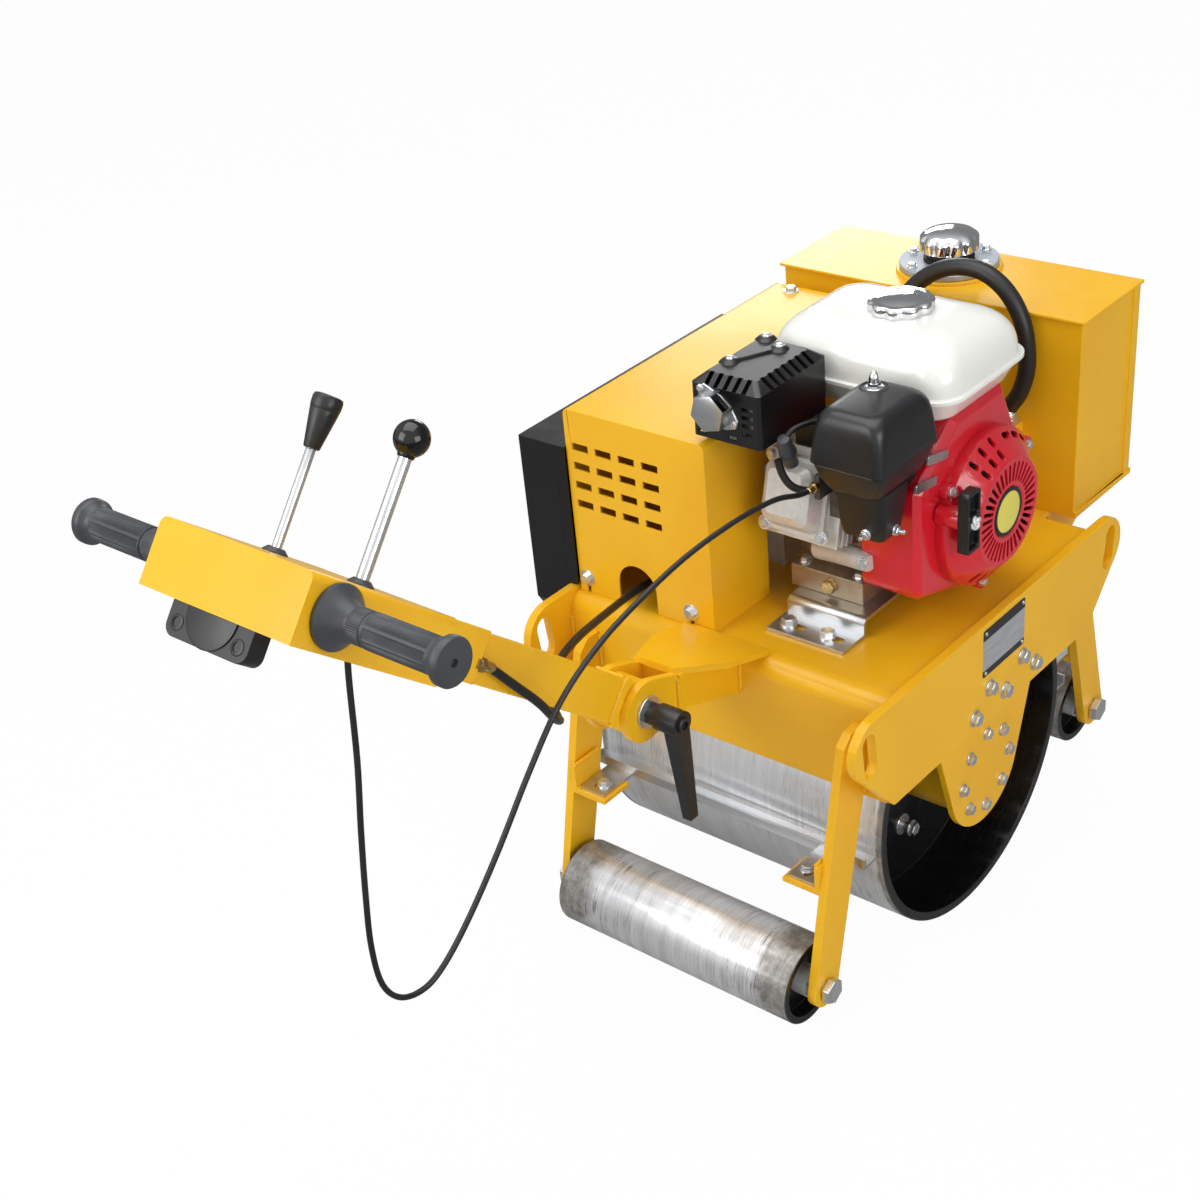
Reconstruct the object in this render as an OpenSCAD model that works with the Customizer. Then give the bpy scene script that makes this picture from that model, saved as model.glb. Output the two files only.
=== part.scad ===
// Walk-behind single-drum road roller. Millimetres.
// +X forward, +Y left, +Z up. The origin is on the ground under the middle of the drum.

/* [Drum and rollers] */
// Drum outside diameter
drum_d = 425; // [400:1:450]
// Drum width
drum_w = 440; // [420:1:446]
// Drum shell thickness
drum_wall = 12; // [8:1:16]
// Support roller diameter
roller_d = 114; // [100:1:120]
// Support roller length
roller_l = 364; // [340:1:370]
// Support roller tube thickness
roller_wall = 10; // [6:1:14]
// Rear roller axle, distance behind the drum axle
rear_reach = 313; // [300:1:330]
// Front roller axle, distance ahead of the drum axle
front_reach = 350; // [335:1:365]
// Height of the front roller above the ground
front_lift = 38; // [20:1:60]

/* [Frame] */
// Height of the deck's top face
deck_z = 440; // [430:1:460]
// Deck sheet thickness
deck_t = 6; // [4:1:8]
// Radius of the deck's rear and front bends
deck_bend = 24; // [15:1:35]
// Distance from the middle to a side plate's outer face
plate_y = 249; // [247:1:255]
// Side plate thickness
plate_t = 12; // [10:1:14]
// Half length of a side plate, out to the lug
plate_half = 308; // [295:1:320]
// Height of a side plate's lower edge
plate_low = 303; // [295:1:310]
// Thickness of a leg
leg_t = 12; // [8:1:14]
// Width of a leg
leg_w = 50; // [44:1:56]

/* [Handle] */
// Height of the handle pivot
pivot_z = 457; // [450:1:465]
// Pivot, distance behind the drum axle
pivot_back = 402; // [395:1:410]
// Slope of the arm above the ground
arm_angle = 39.7; // [35:0.1:45]
// Distance from the pivot to the control box's rear wall
handle_reach = 662; // [640:1:700]
// Control box length along the arm
box_l = 204; // [190:1:220]
// Control box width
box_w = 204; // [190:1:220]
// Control box height
box_h = 67; // [60:1:75]
// Sheet thickness of the control box
box_t = 3; // [2:0.5:4]
// Overall width across the grips
grip_span = 490; // [470:1:520]

/* [Hood and tank] */
// Hood length
hood_l = 440; // [420:1:450]
// Hood height above the deck
hood_h = 254; // [240:1:260]
// Hood sheet thickness
hood_t = 3; // [2:0.5:4]
// Oil tank length
tank_l = 144; // [130:1:160]
// Oil tank height above the deck
tank_h = 267; // [250:1:290]
// Belt guard thickness
guard_t = 60; // [50:1:70]

/* [Engine] */
// Height of the engine's foot above the deck
engine_lift = 26; // [20:1:35]
// Crankshaft height above the engine's foot
crank_h = 106; // [104:1:108]
// Crankshaft, distance ahead of the drum axle
crank_x = 24; // [15:1:30]
// Number of radial slots in the recoil cover
recoil_slots = 36; // [24:1:40]

/* [Hidden] */
$fn = 64;
hull_fn = 32;
run_gap = 0.05;
seat = 0.3;
eps = 0.5;
yellow = "#f2b41c";
zinc = "#b9bdc0";
black = "#202224";
red = "#b3122a";
cast = "#a9aaa8";

drum_r = drum_d / 2;
roller_r = roller_d / 2;
plate_in = plate_y - plate_t;
deck_rear = -227;
deck_front = 262;
deck_low = 300;
plate_top = deck_z + 6;
lug_r = 40;
front_z = roller_r + front_lift;

// Helpers: flat plates from an outline, and rods and revolved pieces along Y.
module plate_xz(y0, t) translate([0, y0 + t, 0]) rotate([90, 0, 0]) linear_extrude(t) children();
module plate_xy(z0, t) translate([0, 0, z0]) linear_extrude(t) children();
module plate_yz(x0, t) translate([x0, 0, 0]) rotate([90, 0, 90]) linear_extrude(t) children();
module rod_y(x, z, r, y0, y1) translate([x, y0, z]) rotate([-90, 0, 0]) cylinder(r = r, h = y1 - y0);
module spin_y(x, z) translate([x, 0, z]) rotate([-90, 0, 0]) rotate_extrude() children();
module both_sides() { children(); mirror([0, 1, 0]) children(); }
module slot2d(l, r) {
  square([2 * r, l - 2 * r], center = true);
  for (s = [-1, 1]) translate([0, s * (l / 2 - r)]) circle(r);
}
module bent2d(x0, x1, z0, z1, r) {
  translate([x0, z0]) square([x1 - x0, z1 - z0 - r]);
  translate([x0 + r, z0]) square([x1 - x0 - 2 * r, z1 - z0]);
  for (x = [x0 + r, x1 - r]) translate([x, z1 - r]) circle(r);
}
module round_rect2d(w, h, r) {
  square([w - 2 * r, h], center = true);
  square([w, h - 2 * r], center = true);
  for (a = [-1, 1], b = [-1, 1]) translate([a * (w / 2 - r), b * (h / 2 - r)]) circle(r);
}

// Frame
shelf_y0 = -170;
shelf_y1 = 186;
shelf_l = 120;
rib_h = 90;
rib_t = 8;
module deck() color(yellow) {
  plate_xz(-plate_in, 2 * plate_in) difference() {
    bent2d(deck_rear, deck_front, deck_low, deck_z, deck_bend);
    bent2d(deck_rear + deck_t, deck_front - deck_t, deck_low - 1, deck_z - deck_t, deck_bend - deck_t);
  }
  translate([deck_front - deck_bend, shelf_y0, deck_z - deck_t])
    cube([shelf_l + deck_bend, shelf_y1 - shelf_y0, deck_t]);
  for (y = [shelf_y0, shelf_y1 - rib_t]) plate_xz(y, rib_t)
    polygon([[deck_front - 1, deck_z - deck_t + eps], [deck_front + shelf_l, deck_z - deck_t + eps],
      [deck_front + shelf_l, deck_z - deck_t - 14], [deck_front - 1, deck_z - rib_h]]);
}

slot_x = 278;
slot_z = 402;
slot_l = 61;
slot_r = 12.5;
module side_outline() difference() {
  hull() for (s = [-1, 1]) {
    translate([s * (plate_half - lug_r), plate_top - lug_r]) circle(lug_r, $fn = hull_fn);
    translate([s * 225, plate_low + 8]) circle(8, $fn = hull_fn);
  }
  for (s = [-1, 1]) translate([s * slot_x, slot_z]) rotate(-s * 6.5) slot2d(slot_l, slot_r);
}
module side_plate_left() color(yellow) plate_xz(plate_in, plate_t) side_outline();
module side_plate_right() color(yellow) plate_xz(-plate_y, plate_t) side_outline();

leg_out = 205;
leg_in = leg_out - leg_t;
leg_top = 400;
leg_cut = 14;
axle_r = 12;
foot_z = 194;
foot_t = 6;
foot_l = 50;
foot_in = 140;
tab_h = 42;
module leg_outline(face_x, axle_x, axle_z, leave_z) {
  lean = (axle_x - face_x) / abs(axle_x - face_x);
  difference() {
    union() {
      polygon([[face_x, leg_top], [face_x + lean * (36 - leg_cut), leg_top],
        [face_x + lean * 38, leg_top - leg_cut], [axle_x + lean * leg_w / 2, axle_z],
        [axle_x - lean * leg_w / 2, axle_z], [face_x, leave_z]]);
      translate([axle_x, axle_z]) circle(leg_w / 2);
    }
    translate([axle_x, axle_z]) circle(axle_r + run_gap);
  }
}
module leg_pair(face_x, axle_x, axle_z, leave_z, foot_x) {
  both_sides() {
    plate_xz(leg_in, leg_t) leg_outline(face_x, axle_x, axle_z, leave_z);
    translate([foot_x, foot_in, foot_z]) cube([foot_l, leg_in - foot_in + eps, foot_t]);
    translate([foot_x, leg_in - foot_t, foot_z]) cube([foot_l, foot_t + eps, tab_h]);
  }
}
rear_foot_x = -307;
front_foot_x = 300;
front_leave = 340;
module rear_legs() color(yellow) leg_pair(deck_rear, -rear_reach, roller_r, deck_low, rear_foot_x);
module front_legs() color(yellow) leg_pair(deck_front, front_reach, front_z, front_leave, front_foot_x);

bar_t = 4;
bar_gap = 5.5;
bar_w = 24;
bar_h = 14;
bar_x = drum_r + bar_gap;
bar_z = foot_z + foot_t;
bar_half = 215;
module scraper(foot_end) {
  translate([-bar_x - bar_w, -bar_half, bar_z]) cube([bar_w, 2 * bar_half, bar_t]);
  translate([-bar_x - bar_w, -bar_half, bar_z]) cube([bar_t, 2 * bar_half, bar_h]);
  both_sides() difference() {
    translate([-foot_end + 5, foot_in + 5, bar_z]) cube([foot_end - 5 - bar_x - bar_w + eps, 40, bar_t]);
    translate([-foot_end + 25, foot_in + 25, bar_z - 1]) rotate(90) linear_extrude(bar_t + 2) slot2d(26, 5);
  }
}
module rear_scraper() color(zinc) scraper(-rear_foot_x);
module front_scraper() color(zinc) mirror([1, 0, 0]) scraper(front_foot_x + foot_l);

hub_r = 78;
bearing_t = 10;
housing_r = 64;
stub_r = 20;
web_y = 125;
module bearing_plates() color(yellow) both_sides() {
  plate_xz(plate_in - bearing_t, bearing_t) hull() {
    translate([0, drum_r]) circle(hub_r, $fn = 2 * hull_fn);
    translate([-112, plate_low]) square([224, 68]);
  }
  rod_y(0, drum_r, housing_r, web_y + 24, plate_in - bearing_t + eps);
  rod_y(0, drum_r, stub_r, web_y - 24, web_y + 24 + eps);
}

module roller_axle(x, z) {
  rod_y(x, z, axle_r, -leg_out - 2, leg_out + 2);
  both_sides() {
    translate([x, leg_out + 2, z]) rotate([-90, 30, 0]) cylinder(r = 17, h = 10, $fn = 6);
    translate([x, leg_in - 9, z]) rotate([-90, 30, 0]) cylinder(r = 18, h = 9, $fn = 6);
  }
}
module rear_roller_axle() color(zinc) roller_axle(-rear_reach, roller_r);
module front_roller_axle() color(zinc) roller_axle(front_reach, front_z);

// Handle bracket on the rear face
pivot_x = -pivot_back;
ear_r = 38;
ear_in = 22;
ear_t = 10;
pin_r = 10;
gusset_t = 8;
gusset_slope = 15;
gusset_x = deck_rear + 16;
cross_x = pivot_x + 57;
cross_t = 8;
web_low = 425;
web_drop = 40;
// The top gusset leans on the deck's bend and climbs towards the pivot.
function bend_top(x) = deck_z - deck_bend + sqrt(deck_bend ^ 2 - (deck_rear + deck_bend - x) ^ 2);
function gusset_low(x) = bend_top(gusset_x) + seat + (gusset_x - x) * tan(gusset_slope);
module handle_bracket() color(yellow) {
  both_sides() plate_xz(ear_in, ear_t) difference() {
    hull() {
      translate([pivot_x, pivot_z]) circle(ear_r, $fn = 2 * hull_fn);
      translate([cross_x, web_low]) square([cross_t - 2, gusset_low(cross_x) - web_low - 1]);
    }
    translate([pivot_x, pivot_z]) circle(pin_r + run_gap);
  }
  translate([cross_x, -ear_in - ear_t - 3, web_low - 4])
    cube([cross_t, 2 * (ear_in + ear_t + 3), gusset_low(cross_x) - web_low + 5]);
  web_x = cross_x + cross_t / 2;
  both_sides() plate_xz(ear_in + 2, ear_t - 4) polygon([[web_x, web_low], [web_x, gusset_low(web_x) + 3],
    [deck_rear, gusset_low(deck_rear) + 3], [deck_rear, web_low - web_drop]]);
  translate([gusset_x, 0, gusset_low(gusset_x)]) rotate([0, gusset_slope, 0]) linear_extrude(gusset_t) {
    l = (gusset_x - cross_x) / cos(gusset_slope) + 4;
    polygon([[-l, -28], [-l, 28], [-l / 2, 58], [0, 62], [0, -62], [-l / 2, -58]]);
  }
}
module pivot_pin() color(zinc) {
  rod_y(pivot_x, pivot_z, pin_r, -ear_in - ear_t - 4, ear_in + ear_t + 12);
  rod_y(pivot_x, pivot_z, 20, -ear_in - ear_t - 4, -ear_in - ear_t);
  translate([pivot_x, ear_in + ear_t, pivot_z]) rotate([-90, 0, 0]) cylinder(r = 17, h = 12, $fn = 6);
}
clamp_y = -ear_in - ear_t - 4;
module clamp_lever() color(black) {
  rod_y(pivot_x, pivot_z, 13, clamp_y - 14, clamp_y);
  rod_y(pivot_x, pivot_z, 16, clamp_y - 46, clamp_y - 14);
  hull() {
    rod_y(pivot_x, pivot_z, 12, clamp_y - 46, clamp_y - 26);
    translate([pivot_x + 4, clamp_y - 44, pivot_z - 140]) cube([14, 12, 4]);
  }
}

// Hood over the pump side
hood_x = -207;
hood_y0 = 20;
hood_y1 = 234;
hood_top = deck_z + hood_h;
vent_l = 25;
vent_h = 10;
vent_pitch_y = 36;
vent_pitch_z = 26;
bolt_slit = 5;
bolt_up = 21;
module hood_profile(inset) bent2d(hood_y0 + inset, hood_y1 - inset, deck_z, hood_top - inset, 8 - inset);
module hood_sheet() difference() {
  plate_yz(hood_x, hood_l) hood_profile(0);
  translate([0, 0, -1]) plate_yz(hood_x + hood_t, hood_l - 2 * hood_t) hood_profile(hood_t);
  translate([hood_x + hood_t, hood_y0 + hood_t, deck_z - 1])
    cube([hood_l - 2 * hood_t, hood_y1 - hood_y0 - 2 * hood_t, 40]);
  for (i = [0:3], j = [0:3])
    translate([hood_x - 1, hood_y1 - 10 - vent_l - i * vent_pitch_y, hood_top - 54 - j * vent_pitch_z])
      cube([hood_t + 2, vent_l, vent_h]);
  translate([hood_x - 1, 138, 0]) plate_yz(0, hood_t + 2) {
    translate([0, deck_z + 30]) circle(30);
    translate([-30, deck_z - 1]) square([60, 31]);
  }
  translate([-92, hood_y0 - 1, deck_z - 1]) cube([250, hood_t + 2, 180]);
  for (y = [hood_y0 + 34, hood_y1 - 14.5]) translate([hood_x - 1, y - bolt_slit / 2, deck_z - 1])
    cube([hood_t + 2, bolt_slit, bolt_up + 1]);
}
module hood() color(yellow) {
  hood_sheet();
  hose_elbow(hood_x + hood_l - eps, hood_hose_y, hood_hose_z);
}

guard_y = plate_y;
guard_sheet = 2.5;
guard_back = 212;
guard_low = 410;
guard_top = 643;
guard_r = 76;
module guard_outline(inset) hull() {
  translate([-guard_back + inset, guard_low + inset])
    square([2 * (guard_back - inset), guard_top - guard_low - 2 * inset]);
  translate([0, drum_r]) circle(guard_r - inset, $fn = 2 * hull_fn);
}
module belt_guard() color(black) difference() {
  plate_xz(guard_y, guard_t) guard_outline(0);
  plate_xz(guard_y - 1, guard_t + 1 - guard_sheet) guard_outline(guard_sheet);
}

// Oil tank across the front
tank_x = 262;
tank_y0 = -204;
tank_y1 = 236;
lid_t = 4;
lid_z = deck_z + tank_h;
tank_t = 3;
lip = 4;
lip_h = 8;
seam_w = 16;
collar_r = 68;
collar_h = 5;
elbow = 26;
elbow_h = 30;
hose_x = 246;
tank_hose_y = -114;
tank_hose_z = 560;
hood_hose_y = 60;
hood_hose_z = 640;
module hose_elbow(x, y, top) translate([x, y - elbow / 2, top - elbow_h])
  cube([elbow, elbow, elbow_h - seat]);
module oil_tank() color(yellow) {
  difference() {
    translate([tank_x, tank_y0, deck_z]) cube([tank_l, tank_y1 - tank_y0, tank_h]);
    translate([tank_x + tank_t, tank_y0 + tank_t, deck_z + tank_t])
      cube([tank_l - 2 * tank_t, tank_y1 - tank_y0 - 2 * tank_t, tank_h]);
  }
  difference() {
    translate([tank_x, tank_y0 - lip, deck_z]) cube([tank_l + lip, tank_y1 - tank_y0 + lip, lip_h]);
    translate([tank_x + tank_t, tank_y0 + tank_t, deck_z + tank_t])
      cube([tank_l - 2 * tank_t, tank_y1 - tank_y0 - 2 * tank_t, tank_h]);
  }
  translate([tank_x + tank_l - seam_w, tank_y0 - tank_t, deck_z]) cube([seam_w, tank_t + eps, tank_h]);
  hose_elbow(tank_x - elbow + eps, tank_hose_y, tank_hose_z);
}
lid_over = 5;
filler_x = 340;
filler_y = 30;
filler_z = lid_z + lid_t + collar_h;
module tank_lid() color(yellow) {
  translate([tank_x - lid_over, tank_y0 - lid_over, lid_z])
    cube([tank_l + 2 * lid_over, tank_y1 - tank_y0 + 2 * lid_over, lid_t]);
  translate([filler_x, filler_y, lid_z + lid_t - eps]) cylinder(r = collar_r, h = collar_h + eps);
}
flange_r = 64;
flange_h = 8;
neck_r = 30;
neck_h = 23;
module filler_flange() color(zinc) translate([filler_x, filler_y, filler_z]) {
  cylinder(r = flange_r, h = flange_h);
  cylinder(r = neck_r, h = neck_h);
}
module wavy_cap(r, h, n) {
  linear_extrude(h * 0.6) difference() {
    circle(r);
    for (i = [0:n - 1]) rotate(i * 360 / n) translate([r * 1.12, 0]) circle(r * 0.2);
  }
  translate([0, 0, h * 0.6]) cylinder(r1 = r * 0.86, r2 = r * 0.62, h = h * 0.4);
}
module filler_cap() color(zinc) translate([filler_x, filler_y, filler_z + neck_h]) wavy_cap(39, 26, 12);

// Engine
foot_e = deck_z + engine_lift;
crank_z = foot_e + crank_h;
bracket_t = 5;
br_y0 = -139;
br_y1 = -28;
br_x = 122;
br_bend = 9;
module engine_bracket() color(zinc) difference() {
  plate_xz(br_y0, br_y1 - br_y0) {
    translate([-br_x - 45, deck_z]) square([48, bracket_t]);
    translate([br_x - 3, deck_z]) square([48, bracket_t]);
    difference() {
      bent2d(-br_x, br_x, deck_z, foot_e, br_bend);
      bent2d(-br_x + bracket_t, br_x - bracket_t, deck_z - 1, foot_e - bracket_t, br_bend - bracket_t);
    }
  }
  for (x = [-br_x - 24, br_x + 24], y = [br_y0 + 28, br_y1 - 28])
    translate([x, y, deck_z - 1]) linear_extrude(bracket_t + 2) slot2d(30, 5.5);
}
case_y0 = -128;
case_y1 = 4;
block_u = 80;
case_r = 84;
case_w = 140;
base_x = -95;
base_l = 200;
base_w = 104;
base_h = 30;
shaft_l = 14;
module crankcase() color(cast) {
  translate([base_x, case_y0 + 8, foot_e]) cube([base_l, base_w, base_h]);
  difference() {
    rod_y(crank_x, crank_z, case_r, case_y0, case_y1);
    along_cylinder() translate([-case_r, -2 * case_r, block_u]) cube([2 * case_r, 4 * case_r, case_r]);
  }
  translate([crank_x - case_w / 2, case_y0, foot_e + base_h - 10]) cube([case_w, case_y1 - case_y0, 80]);
  rod_y(crank_x, crank_z, 30, case_y1 - eps, case_y1 + shaft_l);
}
cyl_angle = 15;
cyl_y = -52;
module along_cylinder() translate([crank_x, cyl_y, crank_z]) rotate([0, cyl_angle - 90, 0]) children();
block_w = 88;
block_l = 72;
fin_h = 112;
fin_w = 108;
fin_t = 4;
fin_pitch = 11;
fins = 6;
module cylinder_block() color(cast) along_cylinder() translate([0, 0, block_u]) {
  translate([-block_w / 2, -block_w / 2, 0]) cube([block_w, block_w, block_l]);
  for (i = [0:fins - 1]) translate([-fin_h / 2, -fin_w / 2, fin_t + i * fin_pitch])
    cube([fin_h, fin_w, fin_t]);
}
head_u = block_u + block_l;
valve_flange = 6;
valve_w = 92;
valve_l = 84;
valve_h = 36;
valve_ear = 9;
module valve_layer(up, z, inset, r) translate([up, 0, z]) linear_extrude(1)
  round_rect2d(valve_w - 2 * inset, valve_l - 2 * inset, r, $fn = hull_fn);
module valve_cover() color(cast) along_cylinder() translate([0, 0, head_u]) {
  linear_extrude(valve_flange) {
    round_rect2d(valve_w, valve_l, 12);
    for (a = [-1, 1], b = [-1, 1])
      translate([a * (valve_w / 2 - 4), b * (valve_l / 2 - 2)]) circle(valve_ear);
  }
  hull() {
    valve_layer(0, valve_flange - eps, 5, 14);
    valve_layer(6, valve_h - 9, 10, 12);
    valve_layer(8, valve_h - 1, 19, 8);
  }
}
seam_z = foot_e + 272;
tank_low = seam_z - 34;
shroud_y0 = -205;
shroud_r = 105;
shroud_top = 55;
shroud_t = 4;
shroud_nose = 112;
volute_r = 20;
bore_r = 90;
module fan_shroud() color(red) difference() {
  hull() {
    plate_xz(shroud_y0 + 8, case_y0 - shroud_y0 - 8) shroud_outline(0);
    plate_xz(shroud_y0, case_y0 - shroud_y0) shroud_outline(7);
  }
  rod_y(crank_x, crank_z, bore_r, shroud_y0 - 1, case_y0 - shroud_t);
}
module shroud_outline(inset) {
  translate([crank_x, crank_z]) circle(shroud_r - inset, $fn = 2 * hull_fn);
  translate([crank_x - shroud_top + inset, crank_z])
    square([2 * (shroud_top - inset), tank_low - seat - crank_z - inset]);
  for (z = [-54, 62]) translate([crank_x - shroud_nose, crank_z + z]) circle(volute_r - inset, $fn = hull_fn);
}
cover_r = 97;
face_r = 66;
cover_t = 4;
cover_h = 40;
rim_h = 14;
slot_in = 37;
slot_out = 61;
hub_disc_r = 31;
vent_r = 3.4;
module recoil_shell() translate([crank_x, shroud_y0, crank_z]) rotate([90, 0, 0]) difference() {
  rotate_extrude() polygon([[0, cover_h - 1.5], [hub_disc_r, cover_h - 1.5], [hub_disc_r + 2, cover_h],
    [face_r, cover_h], [cover_r, rim_h], [cover_r, 0], [cover_r - cover_t, 0], [cover_r - cover_t, rim_h - 2],
    [face_r - 2, cover_h - cover_t], [0, cover_h - cover_t]]);
  for (i = [0:recoil_slots - 1]) rotate(i * 360 / recoil_slots)
    translate([(slot_in + slot_out) / 2, 0, cover_h - 12]) linear_extrude(20) rotate(90)
      slot2d(slot_out - slot_in, 2.4);
  for (a = [96:13:122], r = [75, 89]) rotate(a) translate([r, 0, rim_h - 4])
    linear_extrude(cover_h) rotate(90) slot2d(12, vent_r);
  for (a = [48:14:76]) rotate(a) translate([88, 0, rim_h - 4]) linear_extrude(cover_h) slot2d(18, vent_r);
  for (a = [236:12:296]) rotate(a) translate([84, 0, rim_h - 4])
    linear_extrude(cover_h) rotate(90) slot2d(16, vent_r);
}
grip_u = 89;
grip_up = 30;
grip_h = 32.5;
grip_l = 78;
grip_w = 28;
grip_t = 14;
ear_out = 98;
ear_h = 12;
module recoil_cover() color(red) {
  recoil_shell();
  for (a = [34.4, 155, 275]) translate([crank_x, shroud_y0, crank_z]) rotate([90, 0, 0]) rotate(180 - a)
    translate([ear_out, 0, 0]) cylinder(r = 10, h = ear_h);
  translate([crank_x - grip_u, shroud_y0 - 2, crank_z + grip_up]) rotate([90, 0, 0])
    cylinder(r = 13, h = grip_h - 2 - seat);
}
module cooling_fan() color(black) spin_y(crank_x, crank_z)
  polygon([[0, shroud_y0 - 20], [60, shroud_y0 - 12], [82, shroud_y0 + 6], [82, case_y0 - shroud_t - seat],
    [0, case_y0 - shroud_t - seat]]);
// The pull grip is a bar with a finger recess above and below the rope's knot.
module recoil_grip() color(black) translate([crank_x - grip_u, shroud_y0 - grip_h, crank_z + grip_up])
  rotate([90, 0, 0]) difference() {
    linear_extrude(grip_t) round_rect2d(grip_w, grip_l, 5);
    for (s = [-1, 1]) translate([0, s * (grip_l / 4 + 2), grip_t - 7]) linear_extrude(8)
      round_rect2d(grip_w - 8, grip_l / 2 - 14, 3);
  }
ft_x0 = -74;
ft_x1 = 116;
ft_y0 = -222;
ft_y1 = 38;
module tank_layer(z, inset, r) translate([(ft_x0 + ft_x1) / 2, (ft_y0 + ft_y1) / 2, z]) linear_extrude(1)
  round_rect2d(ft_x1 - ft_x0 - 2 * inset, ft_y1 - ft_y0 - 2 * inset, r, $fn = hull_fn);
module fuel_tank() color("white") {
  hull() {
    tank_layer(seam_z + 2, 5, 36);
    tank_layer(seam_z + 26, 8, 38);
    tank_layer(seam_z + 42, 17, 38);
    tank_layer(seam_z + 53, 34, 36);
    tank_layer(seam_z + 60, 58, 28);
  }
  tank_layer(seam_z - 2, 0, 36);
  tank_layer(seam_z - 1, 0, 36);
  tank_layer(seam_z, 0, 36);
  tank_layer(seam_z + 1, 0, 36);
  hull() {
    tank_layer(seam_z - 3, 6, 34);
    tank_layer(tank_low, 20, 30);
  }
}
module fuel_cap() color(zinc) translate([22, -100, seam_z + 61]) wavy_cap(39, 16, 10);
ac_x0 = -193;
ac_x1 = -76;
ac_y0 = -211;
ac_y1 = -120;
ac_top = foot_e + 300;
module box_layer(x0, x1, y0, y1, z, r) translate([(x0 + x1) / 2, (y0 + y1) / 2, z]) linear_extrude(1)
  round_rect2d(x1 - x0, y1 - y0, r, $fn = hull_fn);
nut_x = -111;
nut_y = -150;
module air_cleaner() color(black) {
  difference() {
    hull() {
      box_layer(ac_x0 + 14, ac_x1 - 14, ac_y0 + 14, ac_y1 - 14, ac_top - 1, 14);
      box_layer(ac_x0 + 5, ac_x1 - 5, ac_y0 + 5, ac_y1 - 5, ac_top - 8, 16);
      box_layer(ac_x0, ac_x1, ac_y0, ac_y1, ac_top - 62, 18);
    }
    translate([nut_x, nut_y, ac_top - 6]) cylinder(r = 15, h = 8);
  }
  hull() {
    box_layer(ac_x0 + 2, ac_x1 - 2, ac_y0 + 2, ac_y1 - 2, ac_top - 64, 14);
    box_layer(ac_x0 + 16, ac_x1 - 24, ac_y0 + 14, ac_y1 - 6, ac_top - 100, 12);
  }
  box_layer(ac_x0 + 5, ac_x1 - 5, ac_y0 + 5, ac_y1 - 5, ac_top - 63, 12);
  hull() {
    box_layer(ac_x0 + 22, ac_x0 + 78, ac_y0 + 12, case_y0 - seat, ac_top - 101, 8);
    box_layer(ac_x0 + 34, ac_x0 + 76, ac_y0 + 20, case_y0 - seat, ac_top - 164, 10);
  }
}
carb_y1 = cyl_y - fin_w / 2 - seat;
carb_y0 = case_y0 + seat;
carb_x0 = -140;
carb_z0 = crank_z + 34;
cable_x = -170;
module carburettor() color(cast) {
  translate([carb_x0, carb_y0, carb_z0]) cube([45, carb_y1 - carb_y0, 44]);
  translate([cable_x, carb_y1 - 8, carb_z0 + 36]) cube([70, 8, 30]);
}
mu_x0 = -205;
mu_x1 = -74;
mu_y0 = -62;
mu_y1 = 34;
mu_z0 = 706;
mu_z1 = 782;
mu_t = 2;
chamfer = 14;
chamfer_h = 12;
guard_corner = 6;
mu_x = (mu_x0 + mu_x1) / 2;
mu_y = (mu_y0 + mu_y1) / 2;
louvre_z = mu_z1 - chamfer_h / 2;
louvre = 6;
louvre_pitch = 13;
can_gap = 10;
outlet_y = -6;
outlet_z = 744;
outlet_r = 13;
pipe_x = -98;
pipe_l = 22;
pipe_w = 40;
module guard_form(inset, low) hull() {
  r = guard_corner - inset;
  box_layer(mu_x0 + inset, mu_x1 - inset, mu_y0 + inset, mu_y1 - inset, low, r);
  box_layer(mu_x0 + inset, mu_x1 - inset, mu_y0 + inset, mu_y1 - inset, mu_z1 - chamfer_h - inset, r);
  c = chamfer + inset;
  box_layer(mu_x0 + c, mu_x1 - c, mu_y0 + c, mu_y1 - c, mu_z1 - 1 - inset, r);
}
module muffler() color(black) {
  difference() {
    guard_form(0, mu_z0);
    guard_form(mu_t, mu_z0 - 1 - mu_t);
    for (i = [-2:2]) translate([mu_x0 + chamfer / 2, mu_y + i * louvre_pitch, louvre_z])
      cube([chamfer + 4, louvre, chamfer_h], center = true);
    for (i = [-3:3]) translate([mu_x + i * louvre_pitch, mu_y0 + chamfer / 2, louvre_z])
      cube([louvre, chamfer + 4, chamfer_h], center = true);
    for (i = [0:3]) translate([mu_x0 - 1, mu_y0 + 10, mu_z0 + 14 + i * 10]) cube([mu_t + 2, 16, 5]);
    for (y = [mu_y0 + 34, mu_y1 - 20]) translate([mu_x0 - 1, y, mu_z0 + 5]) cube([mu_t + 2, 12, 5]);
  }
  translate([mu_x0 + can_gap, mu_y0 + can_gap, mu_z0])
    cube([mu_x1 - mu_x0 - 2 * can_gap, mu_y1 - mu_y0 - 2 * can_gap, mu_z1 - mu_z0 - chamfer_h - can_gap]);
  translate([mu_x0 - 4, outlet_y, outlet_z]) rotate([0, 90, 0]) cylinder(r = outlet_r, h = can_gap + 4 + eps);
  difference() {
    translate([pipe_x, cyl_y - pipe_w / 2, 640]) cube([pipe_l, pipe_w, mu_z0 - 640 + eps]);
    along_cylinder() translate([-100, -100, 60]) cube([100 + fin_h / 2 + seat, 200, 140]);
  }
}
pump_r = 50;
pump_y0 = 40;
pump_y1 = 120;
nose_r = 26;
foot_w = 70;
module pump() color(cast) {
  rod_y(crank_x, crank_z, nose_r, case_y1 + shaft_l, pump_y1 - 10);
  rod_y(crank_x, crank_z, pump_r, pump_y0, pump_y1);
  translate([crank_x - pump_r, pump_y0 + 4, deck_z]) cube([2 * pump_r, foot_w, crank_z - deck_z - 20]);
}

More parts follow.
